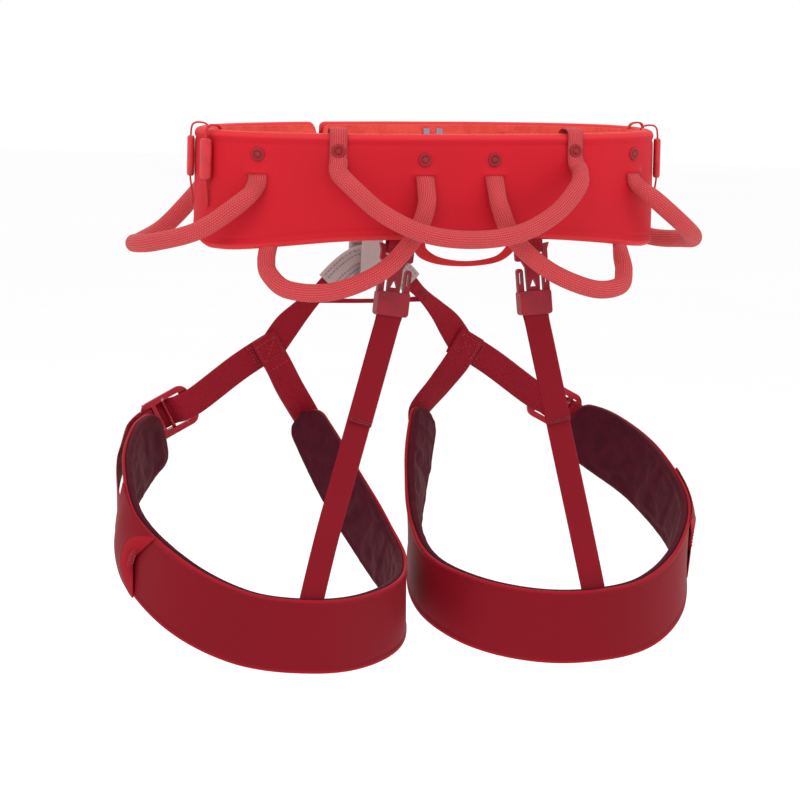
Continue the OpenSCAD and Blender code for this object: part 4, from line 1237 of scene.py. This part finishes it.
def make_leg_straps(side):
    """The leg loop's webbing: down from the tie-in point, inward to the pad's end, outward through the buckle and
    back along the pad, all sewn together at a patch."""
    body, aft, fore = f"{EAR[side]}_leg", FACES["rear"], FACES["front"]
    rows = [
        (27.5, 104, -74.6, 0.7, 0.2, 0.7, 6.4, 0.7), (32.7, 104, -80, 0.7, 0.35, 0.7, 6.0, 0.7),
        (41, 104, -88.3, 0.66, 0.5, 0.66, 5.8, 0.7), (52, 104, -99, 0.7, 0.35, 0.66, 7.6, 0.7),
        (62, 104.5, -110, 0.75, 0.1, 0.6, 9.6, 0.7), (71, 105, -123, 0.8, 0, 0.5, 10, 0.7),
        (77, 105, -133, 0.8, 0, 0.5, 10, 0.7),
    ]
    tie = Ribbon(on_side(rows, side), 1.0)
    obj = tie.strap(f"{body}_tie_in_tape")
    both = "waist_belt", body, (0, 0, -84 * MM), (0, 0, -112 * MM)
    finish(obj, "tape", both, f"{body}_tie_in_strap", slot="webbing")
    lines = bar_lines(16, 2, 2.0, 0.5) + bar_lines(22, 1, 2.0, 0.5)
    sewn(f"{body}_tie_in_stitching", tie, lines, "dark_thread", body, aft)

    start, pad = [(80, 102.6, -117), (73, 102.6, -129), (67, 103, -139), (57, 109, -155)], (0.02, 0.35, 0.75)
    points = np.vstack([start, leg_on(np.array(pad), np.array([5, 3.3, 3]), np.zeros(3))])
    over = np.vstack([[(0.86, 0, -0.5)] * 3, [(0.8, 0.2, -0.5)], -leg_frame(pad)[2]])
    inner = Ribbon(on_side(rows_of(points, over, LEG_HALF, 0.7), side), 1.0)
    finish(inner.strap(f"{body}_inner_tape"), "tape", body, f"{body}_inner_strap", slot="webbing")
    sewn(f"{body}_inner_stitching", inner, box_lines(4, 17) + bar_lines(24, 1, 2, 0.8), "thread", body, aft)

    across = turn_y(UP, BUCKLE_SWING)
    tail = np.array([
        (10.8, 9.2, 3.5), (10.4, 7.6, 3), (10, 5.6, 2), (9.5, 3.3, 0), (9.1, 3, 0), (8.88, 2.7, 0),
        (8.77, 3.3, 0), (8.77, 4.6, 0), (8.88, 5.4, 0),
    ]).T
    start = [(66, 107, -121), (78, 107, -127.5), (98, 106.6, -140)]
    lift = at_leg_buckle([(-30, 0.5, 1), (-37, -8.5, 2.5)])
    points = np.vstack([start, at_leg_buckle(BUCKLE_PATH), lift, leg_on(*tail)])
    over = np.vstack([np.tile(across, (13, 1)), -leg_frame(tail[0])[2]])
    outer = Ribbon(on_side(rows_of(points, over, LEG_HALF, 0.7), side), 1.0)
    finish(outer.strap(f"{body}_outer_tape"), "tape", body, f"{body}_outer_strap", slot="webbing")
    sewn(f"{body}_outer_stitching", outer, box_lines(3, 17) + bar_lines(21, 2, 2), "thread", body, aft)
    sewn(f"{body}_tail_stitching", outer, bar_lines(outer.length - 12, 4, 2.2, 0.75), "thread", body)

    down = np.array([(11.4, 3.4, 5), (11, 3, 5), (10.7, 3, 5)]).T
    points = np.vstack([at_leg_buckle(ANCHOR_PATH + [(-22.5, -5, 1)]), leg_on(*down)])
    over = np.vstack([np.tile(across, (7, 1)), -leg_frame(down[0])[2]])
    anchor = Ribbon(on_side(rows_of(points, over, LEG_HALF, 0.6), side), 0.9)
    finish(anchor.strap(f"{body}_buckle_loop"), "tape", body, f"{body}_buckle_anchor", slot="webbing")

    lean = math.radians(-28)
    along = np.array([math.cos(lean), 0, math.sin(lean)])
    points = np.array([74, 109.4, -127]) + np.linspace(-9, 9, 5)[:, None] * along
    patch = Ribbon(on_side(rows_of(points, (-along[2], 0, along[0]), 9, 0.6), side), 0.8)
    finish(patch.strap(f"{body}_patch_tape"), "tape", body, f"{body}_junction_patch", slot="webbing")
    sewn(f"{body}_patch_stitching", patch, box_lines(1.8, 16.2, 0.8), "thread", body, fore)


def make_strap_keeper(side):
    """The band across the leg loop that holds the loose strap: a sheet that stands off the cloth in an arch, with
    its rear edge cut back in a curve, so that the rolled strap shows in a lens-shaped mouth."""
    name = f"{EAR[side]}_leg"
    level = np.sin(np.linspace(-np.pi / 2, np.pi / 2, 45))[None]
    step = np.linspace(0, 1, 34)[:, None]
    arch = 1 - np.abs(level) ** 2.6
    u = (8.58 + 0.34 * arch) * (1 - step) + (9.62 - 0.1 * arch) * step
    place, way_out, way_up, half = leg_frame(u)
    stand = 2.3 + arch * (4.7 - 2.0 * smoothstep(step, 0.45, 1.0))
    hem = 0.35 * (bump(step, 0.06, 0.05) + bump(step, 0.94, 0.05))
    height = level * (half - 0.2)
    outer = place + (stand + hem + 0.45)[..., None] * way_out + height[..., None] * way_up
    inner = place + (stand - hem - 0.25)[..., None] * way_out + (height * 0.985)[..., None] * way_up
    grid = np.concatenate([outer, inner[:, ::-1]], axis=1)
    travel = np.linspace(0, 30, 34)
    around = np.linspace(0, 110, 91)
    # The front and rear hems, which the cloth's finish paints lighter as a painted highlight.
    edge = np.concatenate([np.clip(1 - 12 * np.minimum(step, 1 - step), 0, 1) + 0 * level] * 2, axis=1)
    obj = skin(f"{name}_keeper_band", mirrored_grid(grid, side), travel * MM, around * MM, edge=edge)
    finish(obj, "leg", name, f"{name}_strap_keeper", slot="leg_fabric")


def paint_cad_parts():
    """The moulded and metal parts keep their own meshes and take their finishes here."""
    nodes = [f"{ear}_{part}" for ear in EAR.values() for part in ("riser_clip", "riser_buckle")]
    nodes += [f"{at}_buckle_{part}" for at in ("left_leg", "right_leg", "waist") for part in ("frame", "slider")]
    for node in nodes:
        look = "clip" if "riser" in node else "metal"
        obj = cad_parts[node]
        obj.data.materials.clear()
        obj.data.materials.append(FINISHES[look].material)


make_camera()
make_studio()
make_belt_cover()
make_belt_lining()
make_size_labels()
make_waist_straps()
make_tie_in_points()
make_belay_loop()
make_rivets()
make_tool_slots()
make_haul_loop()
make_gear_loops()
for leg in (1, -1):
    make_riser(leg)
    make_leg_shell(leg)
    make_leg_padding(leg)
    make_leg_straps(leg)
    make_strap_keeper(leg)
paint_cad_parts()
